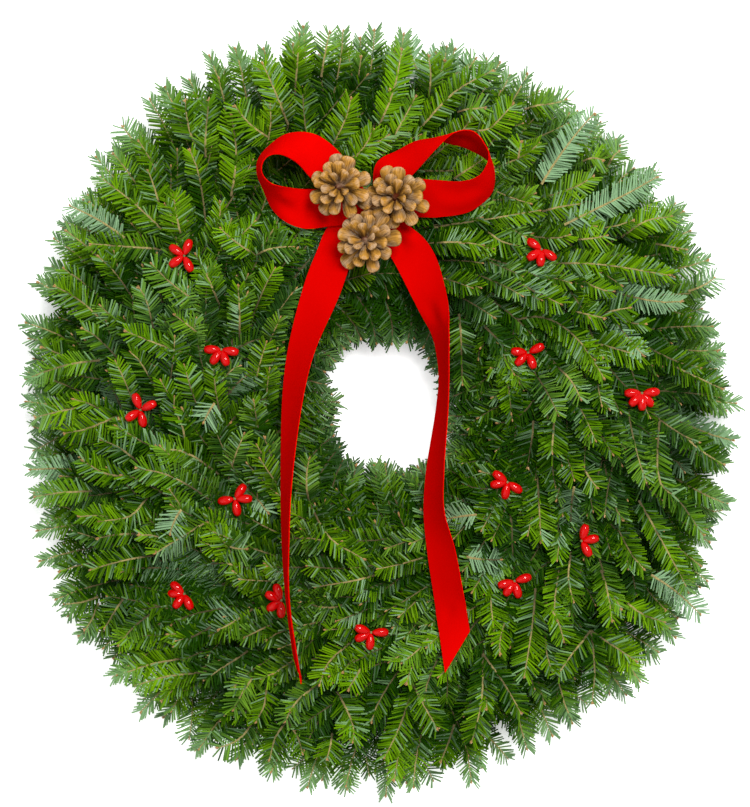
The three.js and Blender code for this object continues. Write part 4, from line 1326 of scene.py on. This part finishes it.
def ribbon_sheet(rulings, steps, across):
    """Points of a ribbon across its width, step by step along it, and its middle line."""
    near, far = [], []
    for nx, ny, fx, fy, z, width in rulings:
        z, width = z * MM, width * MM
        flat = np.linalg.norm(from_view(nx, ny, z) - from_view(fx, fy, z))
        rise = math.sqrt(max(0, width ** 2 - flat ** 2)) / 2
        near.append(from_view(nx, ny, z + rise))
        far.append(from_view(fx, fy, z - rise))
    t = np.linspace(0, 1, steps)
    a, b = spline(near, t), spline(far, t)
    middle = (a + b) / 2
    wide = np.linalg.norm(b - a, axis=1)
    normal = unit(np.cross(unit(np.gradient(middle, axis=0)), b - a))
    u = np.linspace(0, 1, across)
    sheet = a[:, None, :] * (1 - u)[None, :, None] + b[:, None, :] * u[None, :, None]
    slack = np.sqrt(np.maximum(0, (RIBBON_WIDTH * GATHERED_WIDTH) ** 2 - wide ** 2)) / TURN
    pleats = slack[:, None] * np.cos(PLEATS * math.pi * u + PLEAT_START)[None, :] * PLEAT_DEPTH
    cupped = RIBBON_CUP * (1 - (2 * u - 1) ** 2)[None, :]
    sheet += normal[:, None, :] * (pleats + cupped)[:, :, None]
    return sheet, middle


def pressed_foliage():
    """The room that the ribbon, the cones and the berries leave the foliage below them."""
    press = Press()
    for rulings in RIBBONS.values():
        sheet, _ = ribbon_sheet(rulings, ROOM_STEPS, ROOM_STEPS_ACROSS)
        points = sheet.reshape(-1, 3)
        press.lower(points, points[:, 2] - RIBBON_ROOM)
    for name in CONES:
        low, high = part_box(name)
        middle = (low[0] + high[0]) / 2, (low[1] + high[1]) / 2
        press.disc(*middle, CONE_ROOM_RADIUS, low[2] + CONE_ROOM)
    for number, (px, py, _) in enumerate(BERRY_PICKS):
        low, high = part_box(f"berry_pick_{number + 1:02d}")
        hub = from_view(px, py, BERRY_PLANE)
        press.disc(hub[0], hub[1], PICK_ROOM_RADIUS, (low[2] + high[2]) / 2 - PICK_ROOM)
    press.spread(ROOM_REACH)
    return press


class WREATH_OT_bow(bpy.types.Operator):
    """Lay the ribbon's loops and tails"""

    bl_idname = "wreath.bow"
    bl_label = "Ribbon bow"

    across = 17
    steps = 120

    def execute(self, context):
        material = velvet_material(context.scene.wreath_colours)
        for name, rulings in RIBBONS.items():
            self.make_strip(name, rulings, material)
        self.make_knot(material)
        return {"FINISHED"}

    def make_knot(self, material):
        """The gathered middle of the bow, pleated from side to side."""
        bpy.ops.object.select_all(action="DESELECT")
        bpy.ops.mesh.primitive_uv_sphere_add(segments=48, ring_count=24, radius=1)
        obj = bpy.context.object
        obj.name = "bow_knot"
        for vertex in obj.data.vertices:
            x, y, z = vertex.co
            pleat = 1 - KNOT_PLEAT_DEPTH * math.cos(math.atan2(y, z) * KNOT_PLEATS) * (1 - x * x)
            vertex.co = Vector((x * KNOT_SIZE[0], y * pleat * KNOT_SIZE[1], z * pleat * KNOT_SIZE[2])) / 2
        obj.data.transform(Matrix.Translation(from_view(*KNOT_PIXEL, KNOT_HEIGHT)))
        obj.data.materials.append(material)
        only(obj)
        bpy.ops.object.shade_smooth()
        self.declare(obj, KNOT_WRAP)

    def declare(self, obj, length):
        dress(obj, "bow_ribbon")

    def make_strip(self, name, rulings, material):
        sheet, middle = ribbon_sheet(rulings, self.steps, self.across)
        mesh = bpy.data.meshes.new(name)
        n = self.across
        faces = [(i * n + j, i * n + j + 1, (i + 1) * n + j + 1, (i + 1) * n + j)
                 for i in range(self.steps - 1) for j in range(n - 1)]
        mesh.from_pydata(sheet.reshape(-1, 3).tolist(), [], faces)
        obj = link(mesh, name)
        obj.data.materials.append(material)
        only(obj)
        solid = obj.modifiers.new("thickness", "SOLIDIFY")
        solid.thickness = RIBBON_THICKNESS
        solid.offset = 0
        bpy.ops.object.modifier_apply(modifier=solid.name)
        bpy.ops.object.shade_smooth_by_angle(angle=SHARP_FOLD)
        length = float(np.linalg.norm(np.diff(middle, axis=0), axis=1).sum())
        self.declare(obj, length)


def cone_scale():
    """One woody scale along +X, a unit long: a narrow stalk that widens into a thick, squared end,
    with a ridge along its back and a groove on each side of it.
    Gives its points, its triangles and how light each point is painted, as painted shade and light: darker at
    the root and in the grooves, lighter along it, on its upper side, its ridge and its end."""
    verts, tris = primitive(
        bpy.ops.mesh.primitive_uv_sphere_add, segments=20, ring_count=16, radius=1, rotation=ALONG_X)
    x = (verts[:, 0] + 1) / 2
    across, above = unit(verts[:, 1:] + 1e-9).T
    blunt = (1 - np.clip((x - SCALE_BLUNT_FROM) / SCALE_BLUNT_SPAN, 0, 1) ** 3) ** 0.5
    end = blunt * np.sqrt(np.clip(x / SCALE_ROOT, 0, 1))
    wide = rising(x, *SCALE_WIDTH) * end
    thick = rising(x, *SCALE_THICKNESS) * end
    back = np.clip(above * 2, 0, 1)
    swell = np.sin(np.clip(x * 1.04, 0, 1) * math.pi) ** 0.6
    ridge = RIDGE_HEIGHT * np.exp(-((across / RIDGE_WIDTH) ** 2)) * swell * back
    off_groove = (np.abs(across) - GROOVE_PLACE) / GROOVE_WIDTH
    groove = GROOVE_DEPTH * np.exp(-(off_groove ** 2)) * swell * back
    curl = SCALE_CURL * np.maximum(x - 0.5, 0) ** 2
    breadth = squared(across, SCALE_ROUNDNESS[0]) * wide
    height = squared(above, SCALE_ROUNDNESS[1]) * thick + ridge - groove - curl
    # Painted light and shade: darker at the root and in the grooves, lighter along the scale, on its upper
    # side, its ridge and its end
    light = rising(x, *SCALE_LIGHT) + UPPER_LIGHT * above + RIDGE_LIGHT * (ridge - 2 * groove)
    light += rising(x, *SCALE_END_LIGHT)
    return np.stack([x, breadth, height], axis=-1), tris, light


class WREATH_OT_cones(bpy.types.Operator):
    """Set the open pine cones round the knot"""

    bl_idname = "wreath.cones"
    bl_label = "Pine cones"

    golden_angle = math.pi * (3 - math.sqrt(5))
    full_length = 1.03  # of the widest scales, over the cone's radius
    top_shortening = 0.42
    foot_pitch = 0.05
    top_pitch = 0.95
    full_width = 1.20
    top_narrowing = 0.16
    length_range = (0.94, 1.05)
    width_range = (0.9, 1.1)
    pitch_range = (-0.1, 0.1)
    roll_range = (-0.35, 0.35)
    tone_range = (-0.12, 0.08)

    def execute(self, context):
        material = cone_material(context.scene.wreath_colours)
        count = context.scene.wreath_sizes.cone_scales
        scale = cone_scale()
        for number, (name, (pixel, lean, turn)) in enumerate(CONES.items()):
            rng = random.Random(CONE_SEED + number)
            heap = Heap()
            self.add_core(heap)
            for i in range(count):
                self.add_scale(heap, scale, i / (count - 1), i * self.golden_angle + turn, rng)
            for i in range(FOOT_SCALES):
                self.add_scale(heap, scale, -1, (i + 0.5) * TURN / FOOT_SCALES + turn, rng)
            obj = heap.make(f"{name}_scales", [material])
            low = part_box(name)[0][2]
            at = from_view(*pixel, low + SCALE_LEVEL)
            tilt = Matrix.Rotation(-lean[1], 4, "X") @ Matrix.Rotation(lean[0], 4, "Y")
            obj.data.transform(Matrix.Translation((at[0], at[1], low)) @ tilt)
            dress(obj, name)
        return {"FINISHED"}

    def add_core(self, heap):
        heights = np.linspace(-CONE_STALK, CONE_HEIGHT - CONE_CAP, CORE_POINTS)
        path = np.stack([heights * 0, heights * 0, heights], axis=-1)
        radii = np.interp(heights / heights[-1], *CORE_RADII) * MM
        heap.add(*tube(path, radii, CORE_SIDES), 0, CORE_TONE)

    def add_scale(self, heap, scale, up, angle, rng):
        """One scale: up is 0 for the widest, 1 for those at the top and -1 for those round the foot."""
        shape, tris, light = scale
        length = CONE_RADIUS * (self.full_length - self.top_shortening * abs(up) ** 1.5)
        length *= rng.uniform(*self.length_range)
        pitch = self.foot_pitch + self.top_pitch * up * abs(up) ** 0.2 + rng.uniform(*self.pitch_range)
        up = max(up, 0)
        width = length * (self.full_width - self.top_narrowing * up) * rng.uniform(*self.width_range)
        local = shape * np.array([length, width, width])
        roll = Matrix.Rotation(rng.uniform(*self.roll_range), 3, "X")
        turn = Matrix.Rotation(angle + rng.uniform(*self.pitch_range), 3, "Z")
        verts = local @ np.array(turn @ Matrix.Rotation(-pitch, 3, "Y") @ roll).T
        verts[:, 2] += LOWEST_SCALE + (CONE_HEIGHT - SCALE_RANGE) * up
        tones = np.clip(light + rng.uniform(*self.tone_range), 0, 1)
        heap.add(verts, tris, 0, tones, local=shape + rng.uniform(0, 50))


def berry_shape(length, radius):
    """One berry along +X: an egg with its narrow end at the stalk and a small dimple at the other."""
    verts, tris = primitive(
        bpy.ops.mesh.primitive_uv_sphere_add, segments=20, ring_count=14, radius=1, rotation=ALONG_X)
    x, y, z = verts.T
    fullness = 1 - BERRY_NARROWING * ((1 - x) / 2) ** 1.6
    dimple = DIMPLE_DEPTH * np.exp(-((x - 1) / DIMPLE_WIDTH) ** 2)
    shape = np.stack([(x + 1 - dimple) * length / 2, y * radius * fullness, z * radius * fullness], axis=-1)
    return shape, tris


class WREATH_OT_berries(bpy.types.Operator):
    """Put in the berry picks"""

    bl_idname = "wreath.berries"
    bl_label = "Berry picks"

    def execute(self, context):
        sizes, colours = context.scene.wreath_sizes, context.scene.wreath_colours
        shape, tris = berry_shape(sizes.berry_length, sizes.berry_radius)
        materials = [berry_material(colours), bark_material(colours)]
        for number, (px, py, directions) in enumerate(BERRY_PICKS):
            node = f"berry_pick_{number + 1:02d}"
            low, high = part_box(node)
            hub = from_view(px, py, BERRY_PLANE)
            hub[2] = (low[2] + high[2]) / 2
            heap = Heap()
            for i, degrees in enumerate(directions):
                pitch = -BERRY_PITCH + 2 * BERRY_PITCH * draw(number, i + 40)
                turned = Matrix.Rotation(math.radians(degrees), 3, "Z") @ Matrix.Rotation(pitch, 3, "Y")
                verts = (shape + np.array([BERRY_GAP, 0, 0])) @ np.array(turned).T + hub
                heap.add(verts, tris, 0, 0.5)
            stalk = np.stack([hub + np.array([0, 0, STALK_TOP]), hub, hub - np.array([0, 0, STALK_FOOT])])
            heap.add(*tube(stalk, np.array(STALK_RADII) * MM, STEM_SIDES), BARK, STALK_TONE)
            obj = heap.make(f"berries_{number + 1:02d}", materials)
            dress(obj, node)
        return {"FINISHED"}


class WREATH_OT_stage(bpy.types.Operator):
    """Set the floor, the lights and the camera"""

    bl_idname = "wreath.stage"
    bl_label = "Floor, lights and camera"

    def execute(self, context):
        bpy.ops.object.select_all(action="DESELECT")
        bpy.ops.mesh.primitive_plane_add(size=FLOOR_SIZE)
        floor = context.object
        floor.name = "floor"
        floor.data.materials.append(floor_material())
        world = bpy.data.worlds.new("soft_room")
        world.use_nodes = True
        light = world.node_tree.nodes["Background"].inputs
        light["Color"].default_value = (1, 1, 1, 1)
        light["Strength"].default_value = ROOM_LIGHT
        context.scene.world = world
        context.scene.view_settings.view_transform = "Standard"
        for name, (place, size, power) in LAMPS.items():
            self.lamp(name, place, size, power)
        data = bpy.data.cameras.new("camera")
        camera = bpy.data.objects.new("camera", data)
        context.scene.collection.objects.link(camera)
        data.sensor_fit = "HORIZONTAL"
        data.sensor_width = SENSOR_WIDTH
        data.lens = data.sensor_width * (EYE_HEIGHT - VIEW_PLANE) / (VIEW_SIZE[0] * PIXEL_SIZE)
        camera.location = (*VIEW_OFFSET, EYE_HEIGHT)
        context.scene.camera = camera
        return {"FINISHED"}

    def lamp(self, name, place, size, power):
        data = bpy.data.lights.new(name, "AREA")
        data.size = size
        data.energy = power
        lamp = bpy.data.objects.new(name, data)
        lamp.location = place
        lamp.rotation_euler = (-Vector(place)).to_track_quat("-Z", "Y").to_euler()
        bpy.context.scene.collection.objects.link(lamp)


class WREATH_PT_panel(bpy.types.Panel):
    bl_label = "Evergreen wreath"
    bl_idname = "WREATH_PT_panel"
    bl_space_type = "VIEW_3D"
    bl_region_type = "UI"
    bl_category = "Wreath"

    def draw(self, context):
        for group in (context.scene.wreath_sizes, context.scene.wreath_colours):
            for name in group.__annotations__:
                self.layout.prop(group, name)
        for operator in OPERATORS:
            self.layout.operator(operator.bl_idname)


OPERATORS = [
    WREATH_OT_stage, WREATH_OT_fir, WREATH_OT_wires, WREATH_OT_bow, WREATH_OT_cones, WREATH_OT_berries,
]
CLASSES = [WreathSizes, WreathColours, *OPERATORS, WREATH_PT_panel]


def register():
    for cls in CLASSES:
        bpy.utils.register_class(cls)
    bpy.types.Scene.wreath_sizes = bpy.props.PointerProperty(type=WreathSizes)
    bpy.types.Scene.wreath_colours = bpy.props.PointerProperty(type=WreathColours)


def unregister():
    del bpy.types.Scene.wreath_colours
    del bpy.types.Scene.wreath_sizes
    for cls in reversed(CLASSES):
        bpy.utils.unregister_class(cls)


def main():
    register()
    bpy.ops.wreath.stage()
    bpy.ops.wreath.fir()
    bpy.ops.wreath.wires()
    bpy.ops.wreath.bow()
    bpy.ops.wreath.cones()
    bpy.ops.wreath.berries()
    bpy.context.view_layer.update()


if __name__ == "__main__":
    main()
